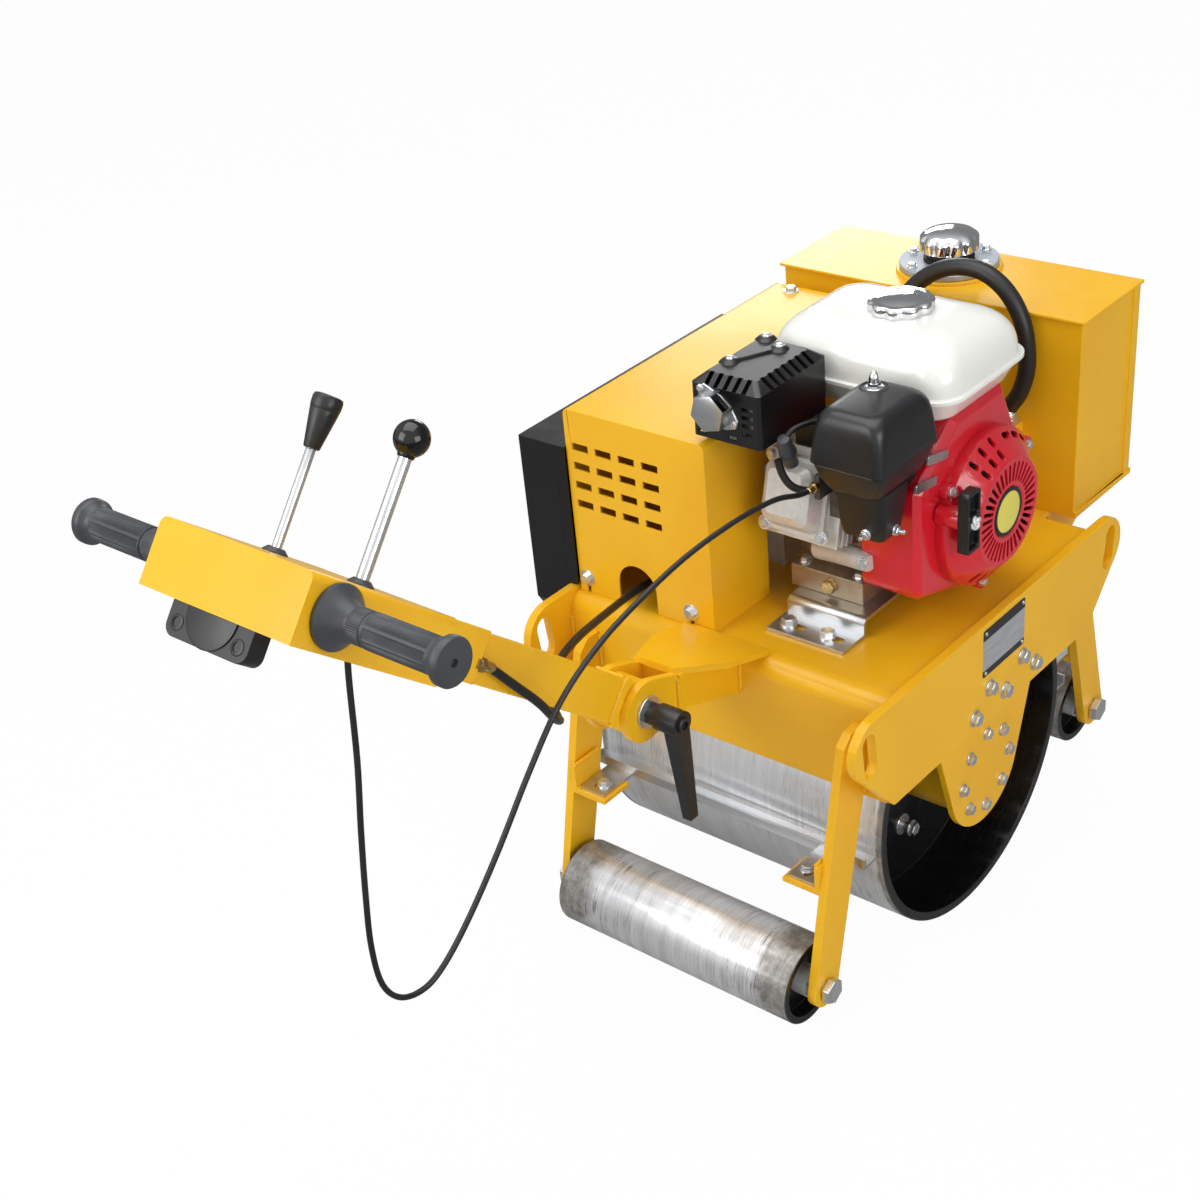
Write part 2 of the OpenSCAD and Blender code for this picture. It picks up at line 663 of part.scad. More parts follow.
// Hoses and cables: a round tube swept along a hand-chosen route.
function unit(v) = v / norm(v);
function side(d) = unit(abs(d[2]) < 0.9 ? cross(d, [0, 0, 1]) : cross(d, [0, 1, 0]));
function heading(p, i) = unit(p[min(i + 1, len(p) - 1)] - p[max(i - 1, 0)]);
module tube(p, r, sides) {
  n = len(p);
  ring = [for (i = [0:n - 1]) let (d = heading(p, i), a = side(d), b = cross(d, a))
    for (k = [0:sides - 1]) p[i] + r * (cos(k * 360 / sides) * a + sin(k * 360 / sides) * b)];
  faces = concat([[for (k = [0:sides - 1]) k]],
    [for (i = [0:n - 2], k = [0:sides - 1]) let (k2 = (k + 1) % sides)
      [i * sides + k, (i + 1) * sides + k, (i + 1) * sides + k2, i * sides + k2]],
    [[for (k = [sides - 1:-1:0]) (n - 1) * sides + k]]);
  polyhedron(ring, faces);
}
hose_path = [[hose_x, hood_hose_y, hood_hose_z], [hose_x, hood_hose_y, 658], [hose_x, 44, 695],
  [hose_x, 12, 732], [hose_x, -28, 755], [hose_x, -72, 758], [hose_x, -108, 738], [hose_x, -132, 700],
  [hose_x, -140, 650], [hose_x, -132, 610], [hose_x, tank_hose_y, 578], [hose_x, tank_hose_y, tank_hose_z]];
module hydraulic_hose() color(black) tube(hose_path, 11, 12);
throttle_path = [[-809.6, -58, 834.5], [-823, -58, 818], [-834, -59, 796], [-842, -60, 760],
  [-854, -64, 673], [-868, -67, 600], [-880, -70, 530], [-887, -72, 470], [-884, -74, 420],
  [-866, -77, 391], [-836, -80, 383], [-806, -83, 397], [-765, -86, 433], [-714, -89, 488],
  [-660, -92, 553], [-606, -94, 607], [-545, -95, 640], [-480, -97, 660], [-400, -100, 676],
  [-320, -105, 682], [-250, -109, 678], [-205, -110, 664], [-185, -110, 660], [-170.3, -110, 660]];
module throttle_cable() color(black) tube(throttle_path, 3.2, 8);
shift_path = [[-648, -26, 654.8], [-634, -26, 643], [-606, -34, 606], [-580, -38, 572], [-556, -33, 538],
  [-530, -16, 513], [-508, 8, 496], [-484, 36, 490], [-452, 64, 493], [-410, 88, 493], [-360, 106, 488],
  [-310, 120, 480], [-260, 130, 474], [-225, 136, 470], [-180, 136, 468], [-130, 128, 470], [-80, 108, 478],
  [-50, 100, 480], [-26.3, 100, 480]];
module shift_cable() color(black) tube(shift_path, 5, 10);

// Drum and support rollers
module drum() color(zinc) spin_y(0, drum_r) difference() {
  translate([stub_r + run_gap, -drum_w / 2]) square([drum_r - stub_r - run_gap, drum_w]);
  for (s = [-1, 1]) translate([0, s * (drum_w / 2 + web_y + 6) / 2])
    square([2 * (drum_r - drum_wall), drum_w / 2 - web_y - 6 + eps], center = true);
  square([2 * (drum_r - drum_wall), 2 * web_y - 12], center = true);
}
module support_roller(x, z) spin_y(x, z) difference() {
  translate([axle_r + run_gap, -roller_l / 2]) square([roller_r - axle_r - run_gap, roller_l]);
  for (s = [-1, 1]) translate([0, s * roller_l / 2])
    square([2 * (roller_r - roller_wall), 40], center = true);
  square([2 * (roller_r - roller_wall), roller_l - 100], center = true);
}
module rear_roller() color(zinc) support_roller(-rear_reach, roller_r);
module front_roller() color(zinc) support_roller(front_reach, front_z);

// Handle, drawn along the arm: local x runs up the arm from the pivot, local +y is the right side.
arm_h = 54;
arm_w = 40;
arm_t = 3;
hub_out_r = 33;
end_u = 40;
end_t = 8;
module on_arm() translate([pivot_x, 0, pivot_z]) rotate([0, arm_angle, 0]) rotate([0, 0, 180]) children();
box_u0 = handle_reach - box_l;
sleeve_u = 316;
bar_u = handle_reach - 42;
bar_r = 13;
bar_v = 2;
module handle_arm() color(yellow) on_arm() {
  difference() {
    union() {
      rotate([90, 0, 0]) cylinder(r = hub_out_r, h = 2 * (ear_in - seat), center = true);
      translate([0, -ear_in + seat, -27]) cube([end_u + end_t, 2 * (ear_in - seat), 54]);
    }
    rotate([90, 0, 0]) cylinder(r = pin_r + run_gap, h = 100, center = true);
  }
  translate([end_u, -24, -30]) cube([end_t, 48, 60]);
  difference() {
    translate([end_u, -arm_w / 2, -arm_h / 2]) cube([box_u0 + 30 - end_u, arm_w, arm_h]);
    translate([end_u + end_t, -arm_w / 2 + arm_t, -arm_h / 2 + arm_t])
      cube([box_u0 + 40 - end_u, arm_w - 2 * arm_t, arm_h - 2 * arm_t]);
  }
  for (s = [-1, 1]) translate([sleeve_u, s * (arm_w / 2 + 5) - 5, -arm_h / 2])
    cube([box_u0 + 20 - sleeve_u, 10, arm_h / 2 + box_h / 2 - box_t]);
}
box_bend = 9;
module box_profile(inset, low)
  bent2d(-box_w / 2 + inset, box_w / 2 - inset, low, box_h / 2 - inset, box_bend - inset);
module control_box() color(yellow) on_arm() difference() {
  plate_yz(box_u0, box_l) box_profile(0, -box_h / 2);
  plate_yz(box_u0 - 1, box_l - box_t + 1) box_profile(box_t, -box_h / 2 - 1);
  translate([bar_u, 0, bar_v]) rotate([90, 0, 0]) cylinder(r = bar_r + run_gap, h = box_w + 2, center = true);
}
module handlebar() color(zinc) on_arm() translate([bar_u, 0, bar_v]) rotate([90, 0, 0])
  cylinder(r = bar_r, h = grip_span - 12, center = true);
module grips() color(black) on_arm() translate([bar_u, 0, bar_v]) both_sides()
  translate([0, box_w / 2, 0]) rotate([-90, 0, 0]) rotate_extrude() {
    l = (grip_span - box_w) / 2;
    polygon([[bar_r + run_gap, 0], [30, 0], [31, 5], [22, 16], [17, 26], [17, l - 14], [23, l - 9], [23, l],
      [0, l], [0, l - 6 + run_gap], [bar_r + run_gap, l - 6 + run_gap]]);
  }
lever_back = 107;
lever_inset = 44;
lever_u = handle_reach - lever_back;
lever_y = box_w / 2 - lever_inset;
module lever(y, r, l) translate([lever_u, y, box_h / 2]) cylinder(r = r, h = l);
module drive_lever() color(zinc) on_arm() {
  lever(-lever_y, 5, 108);
  color(black) translate([lever_u, -lever_y, box_h / 2 + 104]) cylinder(r1 = 8, r2 = 15, h = 52);
}
module throttle_lever() color(zinc) on_arm() {
  lever(lever_y, 6.5, 128);
  color(black) translate([lever_u, lever_y, box_h / 2 + 140]) sphere(r = 17.5);
}
head_w = 110;
head_t = 22;
head_drop = 33;
head_hole = 5;
head_round = 12;
dial_r = 33;
dial_t = 2.5;
module control_head() color(black) on_arm() {
  low = -box_h / 2 - head_drop;
  face_u = handle_reach - box_t - head_t;
  plate_yz(face_u, head_t - seat) difference() {
    union() {
      translate([-head_w / 2, low + head_round]) square([head_w, box_h / 2 - box_t - low - head_round]);
      translate([-head_w / 2 + head_round, low]) square([head_w - 2 * head_round, head_round + eps]);
      for (s = [-1, 1]) translate([s * (head_w / 2 - head_round), low + head_round]) circle(head_round);
    }
    for (s = [-1, 1]) translate([s * (head_w / 2 - head_round - 2), low + head_round + 2]) circle(head_hole);
  }
  translate([face_u + eps, 0, low + head_drop + 1]) rotate([0, -90, 0])
    cylinder(r = dial_r, h = dial_t + eps);
}

deck();
side_plate_left();
side_plate_right();
rear_legs();
front_legs();
rear_scraper();
front_scraper();
bearing_plates();
rear_roller_axle();
front_roller_axle();
handle_bracket();
pivot_pin();
clamp_lever();
hood();
belt_guard();
oil_tank();
tank_lid();
filler_flange();
filler_cap();
engine_bracket();
crankcase();
cylinder_block();
valve_cover();
fan_shroud();
recoil_cover();
cooling_fan();
recoil_grip();
fuel_tank();
fuel_cap();
air_cleaner();
carburettor();
muffler();
pump();
hydraulic_hose();
throttle_cable();
shift_cable();
drum();
rear_roller();
front_roller();
handle_arm();
control_box();
handlebar();
grips();
drive_lever();
throttle_lever();
control_head();
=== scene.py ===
"""Looks of the walk-behind road roller: camera, cables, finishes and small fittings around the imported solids.
The frame is the model's own: +X forward, +Y left, +Z up, origin on the ground under the drum's middle.
Sizes in this file are millimetres unless a name says otherwise, and become metres in mm()."""

import math
import random

import bmesh
import bpy
from mathutils import Matrix, Vector


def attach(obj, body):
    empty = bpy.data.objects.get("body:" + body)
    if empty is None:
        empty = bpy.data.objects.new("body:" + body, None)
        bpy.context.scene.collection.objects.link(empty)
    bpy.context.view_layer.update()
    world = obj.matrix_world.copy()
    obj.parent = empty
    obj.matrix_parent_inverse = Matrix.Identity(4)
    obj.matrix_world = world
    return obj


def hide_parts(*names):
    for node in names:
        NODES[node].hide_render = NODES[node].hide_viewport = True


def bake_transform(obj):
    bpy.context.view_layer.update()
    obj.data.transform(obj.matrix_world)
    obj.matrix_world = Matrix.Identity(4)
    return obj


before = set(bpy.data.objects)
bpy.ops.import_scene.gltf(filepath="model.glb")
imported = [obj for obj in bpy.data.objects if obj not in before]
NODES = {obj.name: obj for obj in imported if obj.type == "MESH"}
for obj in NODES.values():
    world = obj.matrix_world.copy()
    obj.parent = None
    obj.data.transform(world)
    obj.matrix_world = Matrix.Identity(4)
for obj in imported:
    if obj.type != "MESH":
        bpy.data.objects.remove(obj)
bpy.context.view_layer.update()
METRE = 0.001


def mm(*values):
    """A point given in millimetres, as metres."""
    return Vector(values) * METRE


# Camera: where the photograph was taken from, with the lens in pixels of a 1200 pixel frame.
PICTURE = 1200
CAMERA_AT = (-1803.6, -1265.9, 1705.2)
AZIMUTH = math.radians(-44.53)
ELEVATION = math.radians(33.78)
ROLL = math.radians(-7.43)
FOCAL_PIXELS = 1964.3
OPTICAL_CENTRE = (531.3, 725.1)
SENSOR = 36.0


def make_camera():
    data = bpy.data.cameras.new("photo_camera")
    data.sensor_width = SENSOR
    data.lens = FOCAL_PIXELS * SENSOR / PICTURE
    data.shift_x = 0.5 - OPTICAL_CENTRE[0] / PICTURE
    data.shift_y = OPTICAL_CENTRE[1] / PICTURE - 0.5
    data.clip_end = 50
    back = Vector((math.sin(AZIMUTH) * math.cos(ELEVATION), -math.cos(AZIMUTH) * math.cos(ELEVATION),
                   math.sin(ELEVATION)))
    level = Vector((math.cos(AZIMUTH), math.sin(AZIMUTH), 0))
    upright = back.cross(level)
    right = math.cos(ROLL) * level + math.sin(ROLL) * upright
    up = math.cos(ROLL) * upright - math.sin(ROLL) * level
    turn = Matrix((right, up, back)).transposed().to_4x4()
    camera = bpy.data.objects.new("photo_camera", data)
    camera.matrix_world = Matrix.Translation(mm(*CAMERA_AT)) @ turn
    bpy.context.scene.collection.objects.link(camera)
    bpy.context.scene.camera = camera


make_camera()


# Node trees: add() places a node, and an input takes a plain value or another node's output.
def feed(tree, socket, value):
    if isinstance(value, bpy.types.NodeSocket):
        tree.links.new(value, socket)
    else:
        socket.default_value = value


def add(tree, kind, inputs=None, **settings):
    node = tree.nodes.new(kind)
    for name, value in settings.items():
        setattr(node, name, value)
    for name, value in (inputs or {}).items():
        feed(tree, node.inputs[name], value)
    return node


def noise(tree, vector, scale, detail, roughness=0.55, distortion=0.0):
    inputs = {"Vector": vector, "Scale": scale, "Detail": detail, "Roughness": roughness,
              "Distortion": distortion}
    return add(tree, "ShaderNodeTexNoise", inputs).outputs["Fac"]


def stretch(tree, vector, scale):
    return add(tree, "ShaderNodeMapping", {"Vector": vector, "Scale": scale}).outputs["Vector"]


def ramp(tree, value, low, high, to_low=0.0, to_high=1.0):
    """Maps low..high to to_low..to_high, smoothly and clamped."""
    inputs = {"Value": value, "From Min": low, "From Max": high, "To Min": to_low, "To Max": to_high}
    return add(tree, "ShaderNodeMapRange", inputs, interpolation_type="SMOOTHSTEP").outputs["Result"]


def math_node(tree, operation, first, second=0.0):
    node = add(tree, "ShaderNodeMath", operation=operation)
    feed(tree, node.inputs[0], first)
    feed(tree, node.inputs[1], second)
    return node.outputs[0]


def plus(tree, first, second):
    return math_node(tree, "ADD", first, second)


def minus(tree, first, second):
    return math_node(tree, "SUBTRACT", first, second)


def times(tree, first, second):
    return math_node(tree, "MULTIPLY", first, second)


def larger(tree, first, second):
    return math_node(tree, "MAXIMUM", first, second)


def mix(tree, share, first, second):
    node = add(tree, "ShaderNodeMix", data_type="RGBA")
    feed(tree, node.inputs["Factor"], share)
    feed(tree, node.inputs["A"], first)
    feed(tree, node.inputs["B"], second)
    return node.outputs["Result"]


def new_group(name, inputs, outputs):
    """A shader group with its sockets, and its tree's two ends."""
    tree = bpy.data.node_groups.new(name, "ShaderNodeTree")
    for label, kind, value in inputs:
        socket = tree.interface.new_socket(label, in_out="INPUT", socket_type=kind)
        socket.default_value = value
    for label, kind in outputs:
        tree.interface.new_socket(label, in_out="OUTPUT", socket_type=kind)
    return tree, tree.nodes.new("NodeGroupInput").outputs, tree.nodes.new("NodeGroupOutput").inputs


COLOUR = "NodeSocketColor"
NUMBER = "NodeSocketFloat"
WHITE = (1, 1, 1, 1)
DUST = (0.80, 0.76, 0.68, 1)
SURFACE = [("Color", COLOUR), ("Roughness", NUMBER), ("Height", NUMBER)]


def object_place(tree):
    return add(tree, "ShaderNodeTexCoord").outputs["Object"]


def split(tree, vector):
    return add(tree, "ShaderNodeSeparateXYZ", {"Vector": vector}).outputs


def make_coat_group():
    """Sprayed or baked coat: slow drift of tone, fine orange peel, and a film of dust on what faces up."""
    inputs = [("Coat", COLOUR, WHITE), ("Deep", COLOUR, WHITE), ("Gloss", NUMBER, 0.3),
              ("Peel Scale", NUMBER, 700), ("Dust", NUMBER, 0.1)]
    tree, given, out = new_group("coat_surface", inputs, SURFACE)
    place = object_place(tree)
    drift = ramp(tree, noise(tree, place, 7, 4), 0.3, 0.7)
    patch = noise(tree, place, 42, 5, 0.65)
    tone = mix(tree, times(tree, drift, 0.5), given["Coat"], given["Deep"])
    up = split(tree, add(tree, "ShaderNodeNewGeometry").outputs["Normal"])["Z"]
    film = times(tree, ramp(tree, up, 0.4, 1.0), ramp(tree, patch, 0.45, 0.75))
    film = times(tree, film, given["Dust"])
    feed(tree, out["Color"], mix(tree, film, tone, DUST))
    rough = plus(tree, given["Gloss"], ramp(tree, patch, 0.35, 0.7, -0.02, 0.025))
    feed(tree, out["Roughness"], plus(tree, rough, times(tree, film, 0.4)))
    feed(tree, out["Height"], noise(tree, place, given["Peel Scale"], 2, 0.5))
    return tree


def make_streak_group():
    """Streaks drawn out along one way, as on brushed or rolled metal. Reach is the scale on each axis."""
    inputs = [("Reach", "NodeSocketVector", (1, 1, 1)), ("Scale", NUMBER, 60)]
    tree, given, out = new_group("drawn_streaks", inputs, [("Fine", NUMBER), ("Broad", NUMBER)])
    axes = {0: object_place(tree), 1: given["Reach"]}
    drawn = add(tree, "ShaderNodeVectorMath", axes, operation="MULTIPLY").outputs[0]
    feed(tree, out["Fine"], noise(tree, drawn, given["Scale"], 6, 0.7))
    feed(tree, out["Broad"], noise(tree, drawn, times(tree, given["Scale"], 0.22), 4, 0.6, 0.4))
    return tree


def make_grain_group():
    """Moulded or cast skin: fine grain, slow drift, and scuffs."""
    inputs = [("Base", COLOUR, WHITE), ("Scuffed", COLOUR, WHITE), ("Gloss", NUMBER, 0.5),
              ("Grain Scale", NUMBER, 900)]
    tree, given, out = new_group("moulded_grain", inputs, SURFACE)
    place = object_place(tree)
    drift = noise(tree, place, 14, 4, 0.6)
    scuff = ramp(tree, noise(tree, stretch(tree, place, (30, 90, 55)), 2.2, 6, 0.72, 1.2), 0.6, 0.74)
    share = plus(tree, times(tree, scuff, 0.35), ramp(tree, drift, 0.35, 0.8, 0, 0.4))
    feed(tree, out["Color"], mix(tree, share, given["Base"], given["Scuffed"]))
    feed(tree, out["Roughness"], plus(tree, given["Gloss"], ramp(tree, drift, 0.3, 0.7, -0.06, 0.06)))
    feed(tree, out["Height"], noise(tree, place, given["Grain Scale"], 3, 0.6))
    return tree


GROUPS = {"coat": make_coat_group(), "streaks": make_streak_group(), "grain": make_grain_group()}


def rgb(red, green, blue):
    """A colour given as the 0..255 numbers of a picture, made linear."""
    def linear(level):
        level /= 255
        return level / 12.92 if level <= 0.04045 else ((level + 0.055) / 1.055) ** 2.4
    return (linear(red), linear(green), linear(blue), 1)


def new_material(name):
    material = bpy.data.materials.new(name)
    material.use_nodes = True
    tree = material.node_tree
    shader = next(node for node in tree.nodes if node.type == "BSDF_PRINCIPLED")
    return material, tree, shader


def place_group(tree, group, inputs):
    return add(tree, "ShaderNodeGroup", inputs, node_tree=GROUPS[group]).outputs


BUMP_DEPTH = 0.4
CLEAR_ROUGHNESS = 0.06


def bumped(tree, shader, height, strength):
    inputs = {"Height": height, "Strength": strength, "Distance": BUMP_DEPTH * METRE}
    feed(tree, shader.inputs["Normal"], add(tree, "ShaderNodeBump", inputs).outputs["Normal"])


def surfaced(tree, shader, look, relief):
    """Feeds a surface group's tone, roughness and relief to a shader."""
    feed(tree, shader.inputs["Base Color"], look["Color"])
    feed(tree, shader.inputs["Roughness"], look["Roughness"])
    bumped(tree, shader, look["Height"], relief)


def coat_material(name, coat, deep, gloss, peel, dust, clear, specular=0.5):
    """Painted or powder-coated sheet."""
    material, tree, shader = new_material(name)
    inputs = {"Coat": coat, "Deep": deep, "Gloss": gloss, "Dust": dust}
    surfaced(tree, shader, place_group(tree, "coat", inputs), peel)
    shader.inputs["Specular IOR Level"].default_value = specular
    shader.inputs["Coat Weight"].default_value = clear
    shader.inputs["Coat Roughness"].default_value = CLEAR_ROUGHNESS
    return material


def moulded_material(name, base, scuffed, gloss, grain, grain_scale=900):
    """Moulded plastic or rubber."""
    material, tree, shader = new_material(name)
    inputs = {"Base": base, "Scuffed": scuffed, "Gloss": gloss, "Grain Scale": grain_scale}
    surfaced(tree, shader, place_group(tree, "grain", inputs), grain)
    return material


def metal_material(name, bright, dull, gloss, reach, scale, depth=0.12, metallic=1.0, uneven=0.09):
    """Bare or plated metal with drawn streaks. uneven is how much its roughness wanders."""
    material, tree, shader = new_material(name)
    streak = place_group(tree, "streaks", {"Reach": reach, "Scale": scale})
    feed(tree, shader.inputs["Base Color"], mix(tree, ramp(tree, streak["Broad"], 0.3, 0.7), bright, dull))
    rough = plus(tree, ramp(tree, streak["Fine"], 0.3, 0.7, -uneven, uneven), gloss)
    feed(tree, shader.inputs["Roughness"], rough)
    shader.inputs["Metallic"].default_value = metallic
    bumped(tree, shader, streak["Fine"], depth)
    return material


def axle_distance(tree, place, x, z):
    """Distance from an axle along Y, and distance from the machine's middle plane, both in metres."""
    axes = split(tree, place)
    away = math_node(tree, "POWER", minus(tree, axes["X"], x * METRE), 2.0)
    above = math_node(tree, "POWER", minus(tree, axes["Z"], z * METRE), 2.0)
    return math_node(tree, "SQRT", plus(tree, away, above)), math_node(tree, "ABSOLUTE", axes["Y"])


MARK = rgb(54, 53, 53)
SCALE_TONES = (rgb(108, 104, 99), rgb(172, 168, 163))
SCALE_STREAK = rgb(84, 81, 78)
SAWN_END = rgb(58, 57, 57)
INSIDE = rgb(13, 13, 14)


def turned_material(name, axle, radius, reach, band, marks, bright, dull):
    """Rolled steel of a drum or roller: drawn lines and dark marks around the axle, mill scale left near the
    ends, black paint inside. reach is the half width to the end faces, band how much of it the scale covers,
    and marks how dark the marks are."""
    material, tree, shader = new_material(name)
    place = object_place(tree)
    away, aside = axle_distance(tree, place, *axle)
    streak = place_group(tree, "streaks", {"Reach": (0.05, 1.0, 0.05), "Scale": 420})
    cloud = noise(tree, place, 26, 5, 0.65)
    steel = mix(tree, ramp(tree, streak["Broad"], 0.3, 0.7), bright, dull)

    scratch = noise(tree, stretch(tree, place, (22, 760, 22)), 1.0, 8, 0.72)
    outward = ramp(tree, aside, 0.15 * reach * METRE, 0.7 * reach * METRE, 0.25, 1.0)
    worn = times(tree, outward, ramp(tree, cloud, 0.36, 0.6))
    lines = times(tree, ramp(tree, scratch, 0.5, 0.62), worn)
    steel = mix(tree, times(tree, lines, marks), steel, MARK)

    ragged = plus(tree, aside, ramp(tree, cloud, 0.3, 0.7, -0.16 * band * METRE, 0.16 * band * METRE))
    scale = ramp(tree, ragged, (reach - 1.1 * band) * METRE, (reach - 0.62 * band) * METRE, 0.0, 0.92)
    stain = mix(tree, ramp(tree, noise(tree, place, 70, 6, 0.7), 0.3, 0.7), *SCALE_TONES)
    stain = mix(tree, ramp(tree, streak["Fine"], 0.4, 0.75, 0.0, 0.5), stain, SCALE_STREAK)
    steel = mix(tree, scale, steel, stain)
    end_face = ramp(tree, aside, (reach - 1.2) * METRE, (reach - 0.6) * METRE)
    steel = mix(tree, end_face, steel, SAWN_END)
    inside = ramp(tree, away, (radius - 2.0) * METRE, (radius - 1.2) * METRE, 1.0, 0.0)
    feed(tree, shader.inputs["Base Color"], mix(tree, inside, steel, INSIDE))

    shine = minus(tree, 0.62, times(tree, scale, 0.2))
    shine = minus(tree, shine, times(tree, end_face, 0.3))
    feed(tree, shader.inputs["Metallic"], times(tree, shine, minus(tree, 1.0, inside)))
    rough = plus(tree, ramp(tree, streak["Fine"], 0.3, 0.7, -0.05, 0.07), 0.32)
    rough = plus(tree, rough, times(tree, lines, 0.12))
    rough = minus(tree, rough, times(tree, inside, 0.1))
    feed(tree, shader.inputs["Roughness"], rough)
    bumped(tree, shader, streak["Fine"], 0.1)
    return material


def plate_material(name, low, high, band):
    """Bright plate metal with a plain dark band along its upper and lower edge."""
    material, tree, shader = new_material(name)
    place = object_place(tree)
    up = split(tree, place)["Z"]
    top = ramp(tree, up, (high - band) * METRE, (high - band + 0.6) * METRE)
    foot = ramp(tree, up, (low + 0.7 * band - 0.6) * METRE, (low + 0.7 * band) * METRE, 1.0, 0.0)
    dark = larger(tree, top, foot)
    brushed = noise(tree, stretch(tree, place, (30, 30, 900)), 1.0, 4, 0.6)
    silver = mix(tree, ramp(tree, brushed, 0.3, 0.7), rgb(206, 208, 210), rgb(178, 181, 184))
    feed(tree, shader.inputs["Base Color"], mix(tree, dark, silver, rgb(34, 34, 36)))
    feed(tree, shader.inputs["Metallic"], ramp(tree, dark, 0.0, 1.0, 0.55, 0.0))
    feed(tree, shader.inputs["Roughness"], ramp(tree, brushed, 0.3, 0.7, 0.3, 0.42))
    return material


# Coats: two tones, roughness, peel, dust, clear coat, specular level
YELLOW = coat_material("yellow_powder_coat", rgb(240, 184, 28), rgb(231, 170, 20), 0.3, 0.1, 0.03, 0.1, 0.3)
BLACK_COAT = coat_material("black_powder_coat", rgb(24, 24, 25), rgb(19, 19, 20), 0.46, 0.2, 0.03, 0.0, 0.3)
RED_COAT = coat_material("red_gloss_paint", rgb(214, 24, 42), rgb(196, 15, 34), 0.2, 0.05, 0.02, 0.6)
WHITE_COAT = coat_material("white_tank_paint", rgb(238, 238, 232), rgb(230, 230, 224), 0.2, 0.04, 0.02, 0.6)
DISC_COAT = coat_material("pale_yellow_disc", rgb(226, 214, 92), rgb(218, 204, 80), 0.3, 0.02, 0.0, 0.2)
BLACK_GLOSS = coat_material("black_heat_paint", rgb(18, 18, 20), rgb(12, 12, 13), 0.32, 0.08, 0.01, 0.15)
# Plastics and rubbers: base, scuffed tone, roughness, grain, scale of the grain
BLACK_PLASTIC = moulded_material("black_moulded_plastic", rgb(24, 25, 27), rgb(42, 43, 46), 0.36, 0.16)
BLACK_KNOB = moulded_material("black_polished_knob", rgb(14, 14, 15), rgb(20, 20, 21), 0.1, 0.02)
GRIP_RUBBER = moulded_material("grip_rubber", rgb(58, 61, 65), rgb(80, 83, 88), 0.42, 0.2)
CABLE_SKIN = moulded_material("cable_sheath", rgb(24, 24, 25), rgb(40, 40, 42), 0.42, 0.12, 1400)
# Metals: two tones, roughness, streak reach and scale, relief, metallic share, wander of the roughness
ZINC = metal_material("bright_zinc", rgb(224, 226, 228), rgb(206, 209, 212),
                      0.26, (1, 1, 0.2), 160, 0.004, 0.85, 0.015)
ROLLED_ZINC = metal_material("rolled_zinc_sheet", rgb(206, 208, 210), rgb(190, 193, 196),
                             0.3, (1, 0.06, 1), 260, 0.003, 0.95, 0.015)
EVEN = (1, 1, 1)
FLANGE_ZINC = metal_material("dull_zinc_flange", rgb(176, 182, 190), rgb(160, 166, 174),
                             0.5, EVEN, 140, 0.004, 0.4, 0.02)
CAN_STEEL = metal_material("silencer_steel", rgb(170, 167, 162), rgb(126, 122, 116), 0.36, EVEN, 90, 0.1, 0.9)
# Painted shade: the carburettor's own metal is paler, and this dark tone stands for the shaded gap it sits in
# beside black plastic
SHADE_DARK_CAST = metal_material("painted_shade_casting", rgb(92, 90, 87), rgb(64, 62, 60), 0.42, EVEN, 300, 0.3, 0.4)
WHITE_ZINC = metal_material("pale_zinc", rgb(226, 228, 228), rgb(208, 211, 212), 0.36, EVEN, 120, 0.03, 0.35)
BRASSY = metal_material("passivated_zinc", rgb(206, 186, 132), rgb(176, 156, 108), 0.3, EVEN, 120)
CHROME = metal_material("polished_chrome", rgb(232, 233, 235), rgb(214, 216, 219), 0.06, EVEN, 40, 0.02)
CAST = metal_material("cast_aluminium", rgb(218, 216, 212), rgb(204, 202, 198),
                      0.38, EVEN, 420, 0.25, 0.3, 0.05)
WARM_CAST = metal_material("stained_casting", rgb(178, 162, 138), rgb(150, 134, 112),
                           0.36, EVEN, 120, 0.2, 0.6, 0.05)
# Drum and rollers: axle in x and z, radius, half width, width of the scale, strength of the marks, two tones
DRUM_AXLE = (0, 212.5)
REAR_AXLE = (-313, 57)
FRONT_AXLE = (350, 95)
ROLLER_TONES = (rgb(228, 229, 231), rgb(202, 203, 205))
DRUM_STEEL = turned_material("rolled_drum_steel", DRUM_AXLE, 212.5, 220, 10, 0.5,
                             rgb(242, 243, 245), rgb(228, 230, 232))
REAR_STEEL = turned_material("rear_roller_steel", REAR_AXLE, 57, 182, 50, 1.0, *ROLLER_TONES)
FRONT_STEEL = turned_material("front_roller_steel", FRONT_AXLE, 57, 182, 50, 1.0, *ROLLER_TONES)
# The plate's left, right, lower and upper edge
PLATE = (-34, 62, 372, 438)
PLATE_METAL = plate_material("blank_plate_metal", PLATE[2], PLATE[3], 14)

